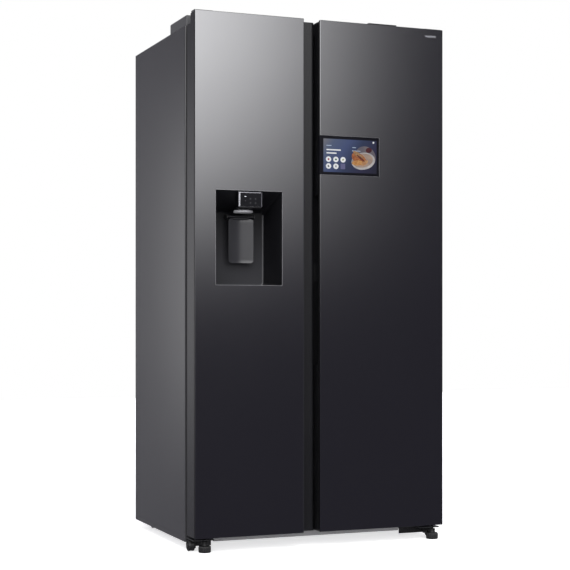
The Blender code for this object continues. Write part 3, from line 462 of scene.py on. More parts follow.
# Top caps in the middle of the doors: they carry the edge profiles up to the door tops.
cap_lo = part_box("freezer_door_frame")[0]
cap_z = (1.7512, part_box("freezer_door_panel")[1].z - 0.0042)
lip_z = (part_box("freezer_door_frame")[0].z, cap_z[1])
lip = [(-0.0694, D(0.0408)), (-0.0660, D(0.0372)), (-0.0620, D(0.0366)), (-0.0282, D(0.0366))]
lip += [(-0.0280 + 0.0105 * math.sin(math.radians(a)), D(0.0472) - 0.0105 * math.cos(math.radians(a))) for a in (8, 20, 32, 44, 56, 68, 80, 90)]
lip += [(-0.0175, D(0.0640)), (-0.0300, D(0.0640)), (-0.0420, D(0.0440)), (-0.0694, D(0.0440))]
bm = bmesh.new()
loft(bm, [[(x, y, z) for x, y in lip] for z in lip_z], True, True)
lip_obj = make("freezer_door_lip", bm, "freezer_door", "edge_plastic", angle=25)
carve(lip_obj, block(bmesh.new(), (-0.0800, D(0.02), 0.6185), (-0.0595, D(0.07), 1.1925)))
for side, body in ((-1, "freezer_door"), (1, "fridge_door")):
    x0, x1 = sorted((side * 0.4545, side * 0.3900))
    rbox(body + "_hinge_cap", (x0, D(0.0125), 1.7825), (x1, D(0.0470), 1.7912), 0.0016, body, "grey_plastic")
plan = [(-0.0600, D(0.0497)), (-0.0395, D(0.0497)), (-0.0278, D(0.0497))]
plan += [(-0.0395 + 0.0199 * math.cos(math.radians(a)), D(0.0611) - 0.0199 * math.sin(math.radians(a))) for a in (34, 28, 22, 16, 10, 5, 0)]
plan += [(-0.0196, D(0.0840)), (-0.0210, D(0.0860)), (-0.0600, D(0.0860))]
bm = bmesh.new()
loft(bm, [[(x, y, z) for x, y in plan] for z in cap_z], True, True)
make("freezer_door_middle_cap", bm, "freezer_door", "edge_plastic")
rbox("fridge_door_middle_cap", (-0.0117, D(0.0497), cap_z[0]), (0.0300, D(0.0860), cap_z[1]), 0.0012, "fridge_door", "edge_plastic")

# Name plate position: a plain bar.
rbox("plain_badge_bar", (0.388, D(0.0001), 1.7588), (0.429, D(0.0009), 1.7646), 0.0003, "fridge_door", "satin_silver", seg=2)

# ------------------------------------------------------------------ dispenser
bm = ring_frame(bmesh.new(), DX0, DX1, DZ0, DZ1, 0.0028,
                [(0.0013, D(0.0006)), (0.0009, D(0.0001)), (0.0002, D(0.0001)), (-0.0002, D(0.0006)), (-0.0002, D(0.0050)), (0.0013, D(0.0050))])
make("dispenser_trim", bm, "freezer_door", "trim_line")

RX0, RX1, RZ1 = DX0 + 0.0255, DX1 - 0.0256, DZ1 - 0.0605
rings = []
for k in range(9):
    t = k / 8
    rings.append([(x, D(0.0012 + (0.1085 - 0.0012) * t), z) for x, z in rrect(DX0 + (RX0 - DX0) * t, DX1 + (RX1 - DX1) * t, DZ0, DZ1 + (RZ1 - DZ1) * t, 0.0028 + 0.0090 * t, 6)])
for k in range(1, 7):
    a = math.radians(15 * k)
    g = 0.0065 * (1 - math.cos(a))
    rings.append([(x, D(0.1085 + 0.0065 * math.sin(a)), z) for x, z in rrect(RX0 + g, RX1 - g, DZ0 + g, RZ1 - g, 0.0118 - g * 0.9, 6)])
bm = bmesh.new()
loft(bm, rings, cap_last=True)
face_inward(bm, ((DX0 + DX1) / 2, D(0.05), (DZ0 + DZ1) / 2))
recess = make("dispenser_recess", bm, "freezer_door", "recess_black", slot="gloss_black", stands_for=("dispenser_housing",), closed=False, angle=50)
solidify(recess, 0.0022)
# The recess's back wall takes the lighter black with painted shade that darkens towards its top.
recess.data.materials.append(M["recess_back_painted_shade"])
recess.data.materials.append(M["recess_corner_painted_highlight"])
# Faces facing straight forward are the back wall; the fillet faces turned to the front left, below 1.12 m, get the
# lighter grey as a painted highlight.
for face in recess.data.polygons:
    if face.normal.y < -0.9:
        face.material_index = 1
    elif face.normal.y < -0.3 and face.normal.x < -0.2 and face.center.z < 1.12:
        face.material_index = 2

# Control block: silver body with round upright edges and a black face.
c_lo, c_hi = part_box("dispenser_control")
rbox("dispenser_control_body", (c_lo.x, c_lo.y, c_lo.z), (c_hi.x, c_hi.y, c_hi.z), 0.0080, "freezer_door", "control_silver", seg=7,
     which=upright, slot="satin_silver", stands_for=("dispenser_control",), angle=60)
rbox("dispenser_control_face", (c_lo.x + 0.0072, c_lo.y - 0.0007, c_lo.z + 0.0003), (c_hi.x - 0.0074, c_lo.y + 0.0030, c_hi.z - 0.0030), 0.0006, "freezer_door", "gloss_black", seg=2)
rbox("dispenser_led_dash", (-0.2835, c_lo.y - 0.0009, 1.1801), (-0.2765, c_lo.y + 0.0002, 1.1812), 0.0003, "freezer_door", LIGHTS["led_dash"], seg=2)
for i, (x, z) in enumerate(((-0.2795, 1.1660), (-0.2620, 1.1730), (-0.2440, 1.1730), (-0.2620, 1.1590), (-0.2440, 1.1590))):
    make(f"dispenser_touch_spot_{i}", disc(bmesh.new(), (x, c_lo.y - 0.0006, z), 0.0028 if i else 0.0020, 0.00025, "Y", 20), "freezer_door", "touch_spot", slot="gloss_black")
rbox("dispenser_control_skirt", (c_lo.x + 0.004, c_lo.y + 0.004, c_lo.z - 0.0052), (c_hi.x - 0.004, c_hi.y, c_lo.z + 0.001), 0.0025, "freezer_door", "recess_black", seg=4, slot="gloss_black")

# Spout: a silver lens-shaped ring under a black neck.
s_lo, s_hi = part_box("dispenser_spout")
sc = Vector(((s_lo.x + s_hi.x) / 2, (s_lo.y + s_hi.y) / 2, 0.0))
lens = [(0.0150, 1.1389), (0.0305, 1.1389), (0.0319, 1.1384), (0.0324, 1.1374), (0.0327, 1.1356), (0.0330, 1.1330), (0.0331, 1.1316), (0.0326, 1.1306), (0.0310, 1.1301), (0.0160, 1.1300), (0.0132, 1.1309), (0.0124, 1.1330), (0.0128, 1.1370), (0.0150, 1.1389)]
make("dispenser_spout_ring", lathe(bmesh.new(), lens, sc, "Z", 56), "freezer_door", "spout_grey", slot="satin_silver", stands_for=("dispenser_spout",), angle=60)
neck = [(0.0124, 1.1330), (0.0170, 1.1384), (0.0178, 1.1400), (0.0180, 1.1716), (0.0124, 1.1716), (0.0124, 1.1330)]
make("dispenser_spout_neck", lathe(bmesh.new(), neck, sc, "Z", 40), "freezer_door", "recess_black", slot="gloss_black", angle=50)

# Paddle: a trough with round corners, its lower lip curling forward, hung from a barrel.
pad_lo, pad_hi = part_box("dispenser_paddle")
px, half = (pad_lo.x + pad_hi.x) / 2, 0.0440
pz0, pz1, corner = pad_lo.z, pad_hi.z - 0.0100, 0.0085
bm = bmesh.new()
rows = []
for j in range(37):
    z = pz0 + (pz1 - pz0) * j / 36
    edge = min(z - pz0, pz1 - z)
    inset = corner - math.sqrt(max(0.0, corner ** 2 - (corner - edge) ** 2)) if edge < corner else 0.0
    w = half - inset
    lip = max(0.0, 1 - (z - pz0) / 0.010)
    brow = max(0.0, 1 - (pz1 - z) / 0.014)
    row = []
    for i in range(25):
        u = -1 + 2 * i / 24
        x = px + u * w
        row.append((x, D(0.0790) + 0.0120 * (1 - ((x - px) / half) ** 2) - 0.0016 * lip ** 2 + 0.0012 * brow ** 2, z))
    rows.append(row)
loft(bm, rows, cyclic=False)
bmesh.ops.recalc_face_normals(bm, faces=bm.faces[:])
bm.normal_update()
if sum(f.normal.y for f in bm.faces) > 0:
    bmesh.ops.reverse_faces(bm, faces=bm.faces[:])
blade = make("paddle_blade", bm, "paddle", "paddle_plastic", stands_for=("dispenser_paddle",), closed=False, angle=50)
solidify(blade, 0.0028)
round_lip = blade.modifiers.new("lip", "BEVEL")
round_lip.width = 0.0009
round_lip.segments = 3
round_lip.limit_method = "ANGLE"
round_lip.angle_limit = math.radians(50)
pivot = Vector((px, D(0.0840), 1.1180))
make("paddle_barrel", lathe(bmesh.new(), [(0.0021, -0.0438), (0.0038, -0.0438), (0.0043, -0.0430), (0.0043, 0.0430), (0.0038, 0.0438), (0.0021, 0.0438), (0.0021, -0.0438)], pivot, "X", 24),
     "paddle", "recess_black", slot="paddle_plastic")
rbox("paddle_neck", (px - 0.0280, D(0.0850), 1.1085), (px + 0.0280, D(0.0930), 1.1160), 0.0015, "paddle", "recess_black", slot="paddle_plastic")
for side in (-1, 1):
    rbox("paddle_ear_" + ("left" if side < 0 else "right"), (px + side * 0.0480 - 0.0018, D(0.0805), 1.1120), (px + side * 0.0480 + 0.0018, D(0.1120), 1.1240), 0.0012, "freezer_door", "recess_black", slot="gloss_black")
make("paddle_pin", lathe(bmesh.new(), [(0.0001, -0.0492), (0.0018, -0.0492), (0.0018, 0.0492), (0.0001, 0.0492)], pivot, "X", 16), "freezer_door", "black_steel")

# Drip tray: a shallow tray with a fine slatted lid.
g_lo, g_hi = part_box("drip_grille")
bm = rim_frame(bmesh.new(), g_lo.x, g_hi.x, g_lo.y, g_hi.y, 0.006, [(0, g_lo.z), (0, g_hi.z - 0.0006), (-0.0006, g_hi.z), (-0.0050, g_hi.z), (-0.0055, g_hi.z - 0.0006), (-0.0055, g_lo.z)])
block(bm, (g_lo.x + 0.004, g_lo.y + 0.004, g_lo.z), (g_hi.x - 0.004, g_hi.y - 0.004, g_lo.z + 0.0016))
count = 21
for i in range(count):
    x = g_lo.x + 0.0085 + (g_hi.x - g_lo.x - 0.017) * i / (count - 1)
    block(bm, (x - 0.0016, g_lo.y + 0.0050, g_lo.z + 0.0040), (x + 0.0016, g_hi.y - 0.0050, g_hi.z - 0.0004), 0.0007, 2)
make("drip_tray_lid", bm, "freezer_door", "black_plastic", stands_for=("drip_grille",))

# ------------------------------------------------------------------ display
rbox("display_glass_front", glass_lo, glass_hi, 0.0014, "fridge_door", "display_glass", seg=4, stands_for=("display_module",))
bm = bmesh.new()
for lo, hi in (((glass_lo.x + 0.0012, D(0.0002), glass_lo.z - 0.0009), (glass_hi.x + 0.0009, D(0.0030), glass_lo.z - 0.0002)),
               ((glass_lo.x + 0.0012, D(0.0002), glass_hi.z + 0.0002), (glass_hi.x + 0.0009, D(0.0030), glass_hi.z + 0.0009)),
               ((glass_hi.x + 0.0002, D(0.0002), glass_lo.z - 0.0009), (glass_hi.x + 0.0009, D(0.0030), glass_hi.z + 0.0009))):
    block(bm, lo, hi, 0.0002, 1)
make("display_trim", bm, "fridge_door", "trim_line")


def ui_material(name, color, strength=0.85, second=None, gradient=None, spots=0.0):
    """Screen colour: a gloss surface that glows with the same colour, varied by noise or along a direction."""
    mat = material(name, color, 0.08, var=0.05, patch=60, rough_var=0.02, grain_scale=200, bump=0.0, spec=0.12)
    nt = mat.node_tree
    sh = nt.nodes["Principled BSDF"]
    sh.inputs["Emission Strength"].default_value = strength
    ramp = next(n for n in nt.nodes if n.type == "VALTORGB")
    if second:
        ramp.color_ramp.elements[0].color = (*color, 1)
        ramp.color_ramp.elements[1].color = (*second, 1)
        noise = next(n for n in nt.nodes if n.type == "TEX_NOISE" and abs(n.inputs["Scale"].default_value - 60) < 1)
        noise.inputs["Scale"].default_value = spots or 60
    if gradient:
        where = next(n for n in nt.nodes if n.type == "TEX_COORD")
        along = nt.nodes.new("ShaderNodeVectorMath")
        along.operation = "DOT_PRODUCT"
        nt.links.new(where.outputs["Object"], along.inputs[0])
        direction, start, end, stops = gradient
        along.inputs[1].default_value = direction
        span = nt.nodes.new("ShaderNodeMapRange")
        span.inputs["From Min"].default_value = start
        span.inputs["From Max"].default_value = end
        nt.links.new(along.outputs["Value"], span.inputs["Value"])
        nt.links.new(span.outputs["Result"], ramp.inputs["Fac"])
        while len(ramp.color_ramp.elements) > 1:
            ramp.color_ramp.elements.remove(ramp.color_ramp.elements[-1])
        ramp.color_ramp.elements[0].position = stops[0][0]
        ramp.color_ramp.elements[0].color = (*stops[0][1], 1)
        for at, col in stops[1:]:
            element = ramp.color_ramp.elements.new(at)
            element.color = (*col, 1)
    nt.links.new(ramp.outputs["Color"], sh.inputs["Emission Color"])
    sh.inputs["Base Color"].default_value = (0.01, 0.01, 0.012, 1)
    for link in list(nt.links):
        if link.to_socket == sh.inputs["Base Color"]:
            nt.links.remove(link)
    return mat


SX0, SX1, SZ0, SZ1 = glass_lo.x + 0.0126, glass_hi.x - 0.0098, glass_lo.z + 0.0092, glass_hi.z - 0.0105


def ux(u):
    return SX0 + (SX1 - SX0) * u


def uz(v):
    return SZ1 - (SZ1 - SZ0) * v


def ui_shape(name, ring, layer, mat):
    """A flat screen element from (x, z) points, a fraction of a millimetre proud of the glass."""
    y1 = YF + 0.00006 - 0.00011 * layer
    prism_bm = prism(bmesh.new(), ring, y1 - 0.00018, y1)
    return make(name, prism_bm, "fridge_door", mat, slot="display_glass")


def oval(cx, cz, rx, rz, turn=0.0, n=36, start=0, end=360):
    pts = []
    for i in range(n + (0 if end - start == 360 else 1)):
        a = math.radians(start + (end - start) * i / n)
        x, z = rx * math.cos(a), rz * math.sin(a)
        t = math.radians(turn)
        pts.append((cx + x * math.cos(t) - z * math.sin(t), cz + x * math.sin(t) + z * math.cos(t)))
    return pts


tilt = (0.80, 0.0, -0.60)
span0 = 0.80 * SX0 - 0.60 * SZ1
span1 = 0.80 * SX1 - 0.60 * SZ0
ui_shape("screen_background", rrect(SX0, SX1, SZ0, SZ1, 0.0012, 3), 0, ui_material("screen_dusk", (0.05, 0.07, 0.16), 0.74, gradient=(
    tilt, span0, span1, [(0.0, (0.19, 0.19, 0.21)), (0.16, (0.085, 0.115, 0.20)), (0.36, (0.055, 0.080, 0.190)), (0.55, (0.022, 0.035, 0.085)), (0.75, (0.018, 0.018, 0.055)), (1.0, (0.006, 0.006, 0.018))])))
ui_white = ui_material("screen_white", (0.80, 0.82, 0.84), 0.86)
ui_pale = ui_material("screen_pale", (0.38, 0.46, 0.60), 0.9)
for name, u0, u1, v, tall, mat in (("a", 0.055, 0.150, 0.203, 0.0026, ui_pale), ("b", 0.055, 0.325, 0.330, 0.0042, ui_white), ("c", 0.055, 0.245, 0.428, 0.0042, ui_white),
                                   ("d", 0.540, 0.610, 0.235, 0.0024, ui_pale), ("e", 0.535, 0.690, 0.335, 0.0030, ui_pale)):
    ui_shape("screen_bar_" + name, rrect(ux(u0), ux(u1), uz(v) - tall / 2, uz(v) + tall / 2, tall * 0.45, 4), 1, mat)
spot_colors = [(0.30, 0.05, 0.07), (0.06, 0.16, 0.08), (0.28, 0.30, 0.10), (0.05, 0.06, 0.05), (0.18, 0.20, 0.22)]
for i, (u, v) in enumerate(((0.095, 0.617), (0.232, 0.617), (0.366, 0.617), (0.095, 0.823), (0.232, 0.823))):
    ui_shape(f"screen_icon_{i}", oval(ux(u), uz(v), 0.0098, 0.0094), 1, ui_white)
    inner = [oval(ux(u), uz(v), 0.0034, 0.0034), rrect(ux(u) - 0.0034, ux(u) + 0.0034, uz(v) - 0.0028, uz(v) + 0.0028, 0.0008, 3), oval(ux(u), uz(v), 0.0040, 0.0026, 35),
             oval(ux(u), uz(v), 0.0036, 0.0036, 0, 18, 90, 330), rrect(ux(u) - 0.0024, ux(u) + 0.0024, uz(v) - 0.0034, uz(v) + 0.0034, 0.0012, 3)][i]
    ui_shape(f"screen_icon_mark_{i}", inner, 2, ui_material(f"screen_mark_{i}", spot_colors[i], 0.9))
ui_shape("screen_tile", rrect(ux(0.320), ux(0.405), uz(0.900), uz(0.735), 0.0012, 3), 1, ui_material("screen_dim", (0.11, 0.11, 0.22), 0.9))
ui_shape("screen_dot", oval(0.1874, 1.3800, 0.0034, 0.0034), 1, ui_white)
# Abstract dish: a pale plate with warm round shapes on it.
ui_shape("screen_dish_glow", oval(0.1560, 1.3290, 0.0400, 0.0370, -14), 1, ui_material("screen_haze", (0.10, 0.09, 0.11), 0.9, second=(0.16, 0.13, 0.13), spots=30))
ui_shape("screen_dish_plate", oval(0.1490, 1.3150, 0.0445, 0.0290, 10), 2, ui_material("screen_plate", (0.62, 0.58, 0.56), 0.76, second=(0.36, 0.35, 0.36), spots=45))
ui_shape("screen_dish_rim", oval(0.1460, 1.3170, 0.0395, 0.0240, 10), 3, ui_material("screen_rim", (0.44, 0.32, 0.24), 0.76, second=(0.26, 0.20, 0.18), spots=60))
ui_shape("screen_dish_large", oval(0.1330, 1.3220, 0.0300, 0.0180, -30), 4, ui_material("screen_amber", (0.50, 0.17, 0.045), 0.76, second=(0.20, 0.050, 0.018), spots=120))
ui_shape("screen_dish_crust", oval(0.1300, 1.3350, 0.0230, 0.0072, -34), 5, ui_material("screen_crust", (0.46, 0.27, 0.12), 0.76, second=(0.24, 0.12, 0.05), spots=170))
ui_shape("screen_dish_cut", oval(0.1400, 1.3240, 0.0190, 0.0036, -36), 6, ui_material("screen_cut", (0.16, 0.035, 0.012), 0.95, second=(0.08, 0.018, 0.010), spots=150))
ui_shape("screen_dish_gold", oval(0.1270, 1.3080, 0.0210, 0.0088, 4), 5, ui_material("screen_gold", (0.66, 0.36, 0.12), 0.76, second=(0.46, 0.19, 0.05), spots=130))
ui_shape("screen_dish_roll", oval(0.1540, 1.3090, 0.0150, 0.0066, 34), 6, ui_material("screen_roll", (0.58, 0.34, 0.16), 0.76, second=(0.40, 0.18, 0.07), spots=130))
ui_shape("screen_dish_dark", oval(0.1700, 1.3530, 0.0115, 0.0090, 10), 2, ui_material("screen_plum", (0.085, 0.010, 0.010), 0.9, second=(0.030, 0.004, 0.006), spots=100))

# ------------------------------------------------------------------ hinge covers, feet, rollers, screws
for word in ("left", "right"):
    lo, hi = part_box("hinge_cover_" + word)
    bm = open_block(bmesh.new(), lo, hi, 0.0050, 5, 2, -1)
    cover = make("hinge_cap_" + word, bm, "cabinet", "grey_plastic", stands_for=("hinge_cover_" + word,), closed=False, angle=45)
    solidify(cover, 0.0024)
    a_lo, a_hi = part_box("top_hinge_" + word)
    slot_lo, slot_hi = (lo.x + 0.004, hi.x - 0.004)
    carve(cover, block(bmesh.new(), (slot_lo, lo.y - 0.01, lo.z - 0.01), (slot_hi, lo.y + 0.006, lo.z + 0.0048)))
    mid = (lo.x + hi.x) / 2
    for i, y in enumerate((lo.y + 0.040, hi.y - 0.035)):
        bm = lathe(bmesh.new(), [(0.0001, 0.0004), (0.0062, 0.0004), (0.0070, 0.0), (0.0062, -0.0006), (0.0001, -0.0006)], (mid, y, hi.z), "Z", 28)
        make(f"hinge_cap_boss_{word}_{i}", bm, "cabinet", "grey_plastic")
        bm = lathe(bmesh.new(), [(0.0001, 0.0018), (0.0026, 0.0015), (0.0040, 0.0007), (0.0042, 0.0), (0.0001, 0.0)], (mid, y, hi.z + 0.0003), "Z", 24)
        make(f"hinge_cap_screw_{word}_{i}", bm, "cabinet", "black_steel")


def thread(z0, z1, r, pitch=0.0015, depth_=0.0005):
    pts, z, out = [], z0, True
    while z < z1:
        pts.append((r if out else r - depth_, z))
        out = not out
        z += pitch / 2
    return pts


def foot_ribs(a, r, h):
    if h < 0.0225 and r > 0.018:
        return 0.0006 * (1 if math.cos(24 * a) > 0 else -1)
    if 0.0298 < h < 0.0362 and r > 0.009:
        return 0.0011 * (1 if math.cos(10 * a) > 0 else -1)
    return 0.0


for word in ("left", "right"):
    lo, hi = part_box("front_foot_" + word)
    c = Vector(((lo.x + hi.x) / 2, (lo.y + hi.y) / 2, 0.0))
    profile = [(0.0001, 0.0), (0.0186, 0.0), (0.0196, 0.0008), (0.0202, 0.0030), (0.0204, 0.0160), (0.0192, 0.0205), (0.0172, 0.0222), (0.0110, 0.0226), (0.0104, 0.0234), (0.0104, 0.0296),
               (0.0096, 0.0299), (0.0096, 0.0361), (0.0055, 0.0364)]
    profile += thread(0.0366, hi.z - 0.0012, 0.0049) + [(0.0040, hi.z - 0.0003), (0.0001, hi.z)]
    make("levelling_foot_" + word, lathe(bmesh.new(), profile, c, "Z", 120, foot_ribs), "foot_" + word, "black_plastic", stands_for=("front_foot_" + word,), angle=40)

for node, body in (("front_roller_left", "front_wheel_left"), ("front_roller_right", "front_wheel_right"), ("rear_roller_left", "rear_wheel_left"), ("rear_roller_right", "rear_wheel_right")):
    lo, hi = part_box(node)
    c = (lo + hi) / 2
    r, w = (hi.z - lo.z) / 2, (hi.x - lo.x) / 2
    profile = [(0.0035, -w), (0.0080, -w), (0.0088, -w + 0.0010), (0.0088, -w + 0.0028), (r - 0.0042, -w + 0.0028), (r - 0.0036, -w + 0.0004), (r - 0.0010, -w), (r, -w + 0.0012),
               (r, -w + 0.0062), (r - 0.0008, -w + 0.0068), (r - 0.0008, w - 0.0068), (r, w - 0.0062), (r, w - 0.0012), (r - 0.0010, w), (r - 0.0036, w - 0.0004), (r - 0.0042, w - 0.0028),
               (0.0088, w - 0.0028), (0.0088, w - 0.0010), (0.0080, w), (0.0035, w), (0.0035, -w)]
    bm = lathe(bmesh.new(), profile, c, "X", 48)
    for k in range(5):
        a = 2 * math.pi * k / 5
        for s in (-1, 1):
            spoke = bmesh.new()
            block(spoke, (s * (w - 0.0030) - 0.0008, 0.0085, -0.0012), (s * (w - 0.0030) + 0.0012, r - 0.0038, 0.0012), 0.0003, 1)
            spoke.transform(Matrix.Translation(c) @ Matrix.Rotation(a, 4, "X"))
            temp = bpy.data.meshes.new("temp")
            spoke.to_mesh(temp)
            spoke.free()
            bm.from_mesh(temp)
            bpy.data.meshes.remove(temp)
    make(node + "_tyre", bm, body, "black_plastic", stands_for=(node,), angle=40)


def screw(name, center, axis, body, r=0.0042, mat="galvanised_steel", out=-1):
    """A pan-head screw with a cross recess. out is the side of the axis that it stands on."""
    s = -out
    bm = lathe(bmesh.new(), [(0.0001, 0.0), (r, 0.0), (r, s * -0.0008), (r * 0.86, s * -0.0017), (r * 0.45, s * -0.0021), (0.0001, s * -0.0022)], center, axis, 24)
    obj = make(name, bm, body, mat, angle=50)
    turn = {"Z": Matrix.Identity(4), "X": Matrix.Rotation(math.pi / 2, 4, "Y"), "Y": Matrix.Rotation(-math.pi / 2, 4, "X")}[axis]
    cross = []
    for k in (0, 1):
        cut_bm = bmesh.new()
        a, b = (r * 0.55, r * 0.11) if k else (r * 0.11, r * 0.55)
        block(cut_bm, (-a, -b, min(s * -0.0012, s * -0.004)), (a, b, max(s * -0.0012, s * -0.004)))
        cut_bm.transform(Matrix.Translation(Vector(center)) @ turn)
        cross.append(cut_bm)
    return carve(obj, *cross)


m_lo, m_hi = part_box("machine_cover")
b_lo, b_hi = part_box("back_panel")
for i, x in enumerate((-0.435, -0.250, 0.100, 0.435)):
    for j, z in enumerate((m_lo.z + 0.010, m_hi.z - 0.010)):
        screw(f"machine_cover_screw_{i}{j}", (x, m_hi.y, z), "Y", "cabinet", out=1)
for i, x in enumerate((b_lo.x + 0.012, b_hi.x - 0.012)):
    for j in range(6):
        screw(f"back_screw_{i}{j}", (x, b_hi.y, b_lo.z + 0.03 + (b_hi.z - b_lo.z - 0.06) * j / 5), "Y", "cabinet", out=1)
# Pressed beads that stiffen the back sheet.
for i, (x0, x1, z0, z1) in enumerate(((-0.40, -0.03, 0.36, 0.98), (0.03, 0.40, 0.36, 0.98), (-0.40, -0.03, 1.06, 1.68), (0.03, 0.40, 1.06, 1.68))):
    y = b_hi.y
    make(f"back_bead_{i}", ring_frame(bmesh.new(), x0, x1, z0, z1, 0.03, [(0.009, y + 0.0001), (0.004, y + 0.0016), (0.0, y + 0.0022), (-0.004, y + 0.0016), (-0.009, y + 0.0001), (0.0, y - 0.0004)], 8),
         "cabinet", "galvanised_steel")
for word, xs in (("left", (-0.440, -0.378)), ("right", (0.350, 0.372))):
    lo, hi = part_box("bottom_hinge_" + word)
    for i, x in enumerate(xs):
        screw(f"bracket_screw_{word}_{i}", (x, D(0.1054), 0.0270), "Y", "cabinet", 0.0040, "black_steel", out=-1)
v_lo, v_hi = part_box("water_inlet_valve")
vc = Vector(((v_lo.x + v_hi.x) / 2, 0.0, (v_lo.z + v_hi.z) / 2))
collar = [(0.0121, 0.3505)] + [(0.0121 + (0.0007 if k % 2 else 0.0), 0.3508 + 0.0007 * k) for k in range(10)] + [(0.0121, 0.3575), (0.0100, 0.3578), (0.0100, 0.3505), (0.0121, 0.3505)]
make("water_inlet_thread", lathe(bmesh.new(), [(r, h) for r, h in collar], vc, "Y", 48), "cabinet", "blue_plastic", slot="white_plastic")

# ------------------------------------------------------------------ inside: liners
case_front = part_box("freezer_liner")[0].y


def soft_liner(name, node, x0, x1, flange):
    """The moulded lining: both compartments' deep round-cornered box with its step, and the front flange."""
    n_lo, n_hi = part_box(node)
    z0, z1, back, step_y, step_z = 0.1350, 1.6940, n_hi.y, 0.0750, 0.3300
    side = [(case_front, z0), (step_y, z0), (step_y, step_z), (back, step_z), (back, z1), (case_front, z1)]
    bm = bmesh.new()
    loft(bm, [[(x0, y, z) for y, z in side], [(x1, y, z) for y, z in side]], True, True)
    bmesh.ops.recalc_face_normals(bm, faces=bm.faces[:])
    front = lambda v: abs(v.co.y - case_front) < 1e-5
    edges = [e for e in bm.edges if not all(front(v) for v in e.verts)]
    bmesh.ops.bevel(bm, geom=edges, offset=0.0140, segments=5, profile=0.5, affect="EDGES")
    bmesh.ops.delete(bm, geom=[f for f in bm.faces if all(front(v) for v in f.verts)], context="FACES")
    rim = [e for e in bm.edges if e.is_boundary]
    for lo_f, hi_f in ((0.0, 1.0),):
        grown = bmesh.ops.extrude_edge_only(bm, edges=rim)["geom"]
        for v in [g for g in grown if isinstance(g, bmesh.types.BMVert)]:
            v.co.x = flange[0] + (v.co.x - x0) / (x1 - x0) * (flange[1] - flange[0])
            v.co.z = flange[2] + (v.co.z - z0) / (z1 - z0) * (flange[3] - flange[2])
    face_inward(bm, ((x0 + x1) / 2, -0.05, 0.9))
    obj = make(name, bm, "cabinet", "white_plastic", stands_for=(node,), closed=False, angle=40)
    solidify(obj, 0.0012)
    return obj


COMPARTMENT = {"freezer": (-0.4045, -0.0415, (-0.4375, -0.0165, 0.0745, 1.7360)), "fridge": (0.0095, 0.4045, (-0.0155, 0.4375, 0.0745, 1.7360))}
for word, (x0, x1, flange) in COMPARTMENT.items():
    soft_liner(word + "_lining", word + "_liner", x0, x1, flange)
    for i, (a, b) in enumerate(((x0 - 0.0002, x0 + 0.0262), (x1 - 0.0262, x1 + 0.0002))):
        rbox(f"{word}_drawer_ledge_{i}", (a, -0.1740, 0.3327), (b, 0.2140, 0.3438), 0.0030, "cabinet", "white_plastic", seg=3)
    # Ceiling lamp behind a pearl lens.
    mid = (x0 + x1) / 2
    if word == "fridge":
        rbox("fridge_lamp_frame", (mid - 0.100, -0.130, 1.6880), (mid + 0.100, -0.040, 1.6938), 0.0020, "cabinet", "grey_vent", slot="white_plastic", seg=3)
        rbox("fridge_lamp", (mid - 0.092, -0.122, 1.6868), (mid + 0.092, -0.048, 1.6900), 0.0012, "cabinet", LIGHTS["led_white"], seg=3)
    else:
        rbox("freezer_lamp_frame", (mid - 0.060, -0.160, 1.6880), (mid + 0.060, -0.095, 1.6938), 0.0020, "cabinet", "grey_vent", slot="white_plastic", seg=3)
        rbox("freezer_lamp", (mid - 0.053, -0.153, 1.6868), (mid + 0.053, -0.102, 1.6900), 0.0012, "cabinet", LIGHTS["led_white"], seg=3)
# Air duct on the fridge's back wall: a raised spine with outlets.
duct = rbox("fridge_air_duct", (0.120, 0.2862, 0.600), (0.294, 0.2942, 1.660), 0.0035, "cabinet", "white_plastic", seg=3)
carve(duct, *[block(bmesh.new(), (0.136 if s < 0 else 0.226, 0.2800, z), (0.188 if s < 0 else 0.278, 0.2925, z + 0.010)) for z in (0.70, 0.84, 1.02, 1.16, 1.38, 1.54) for s in (-1, 1)])
rbox("fridge_air_strip", (0.1980, 0.2852, 0.640), (0.2160, 0.2866, 1.620), 0.0006, "cabinet", "satin_silver", seg=2)
fan_lo, fan_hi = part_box("evaporator_cover")
for i, z in enumerate((0.46, 0.70, 0.94, 1.14)):
    obj = rbox(f"freezer_air_outlet_{i}", (-0.330, fan_lo.y - 0.0032, z), (-0.116, fan_lo.y + 0.0004, z + 0.030), 0.0015, "cabinet", "white_plastic", seg=2)
    carve(obj, *[block(bmesh.new(), (-0.322 + 0.034 * k, fan_lo.y - 0.01, z + 0.006), (-0.298 + 0.034 * k, fan_lo.y - 0.0012, z + 0.024)) for k in range(6)])

# ------------------------------------------------------------------ shelves, drawers, bins
for node in ("freezer_shelf_lower", "freezer_shelf_upper", "crisper_cover", "fridge_shelf_lower", "fridge_shelf_upper"):
    lo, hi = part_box(node)
    z = lo.z + 0.0120
    rbox(node + "_glass", (lo.x + 0.0008, lo.y + 0.0060, z), (hi.x - 0.0008, hi.y - 0.0040, z + 0.0040), 0.0009, "cabinet", "shelf_glass", stands_for=(node,), seg=2)
    rbox(node + "_trim", (lo.x, lo.y, lo.z), (hi.x, lo.y + 0.0140, z + 0.0070), 0.0030, "cabinet", "white_plastic", seg=4)
    rbox(node + "_trim_strip", (lo.x + 0.004, lo.y - 0.0005, lo.z + 0.0062), (hi.x - 0.004, lo.y + 0.0010, lo.z + 0.0128), 0.0004, "cabinet", "satin_silver", seg=2)
    rbox(node + "_rail", (lo.x, hi.y - 0.0100, z - 0.0090), (hi.x, hi.y, z + 0.0120), 0.0025, "cabinet", "white_plastic", seg=3)
    word = node.split("_")[0] if "crisper" not in node else "fridge"
    x0, x1 = COMPARTMENT[word][:2]
    for i, (a, b) in enumerate(((x0 - 0.0002, x0 + 0.0095), (x1 - 0.0095, x1 + 0.0002))):
        rbox(f"{node}_support_{i}", (a, lo.y + 0.0160, z - 0.0100), (b, hi.y - 0.0120, z - 0.0004), 0.0020, "cabinet", "white_plastic", seg=3)


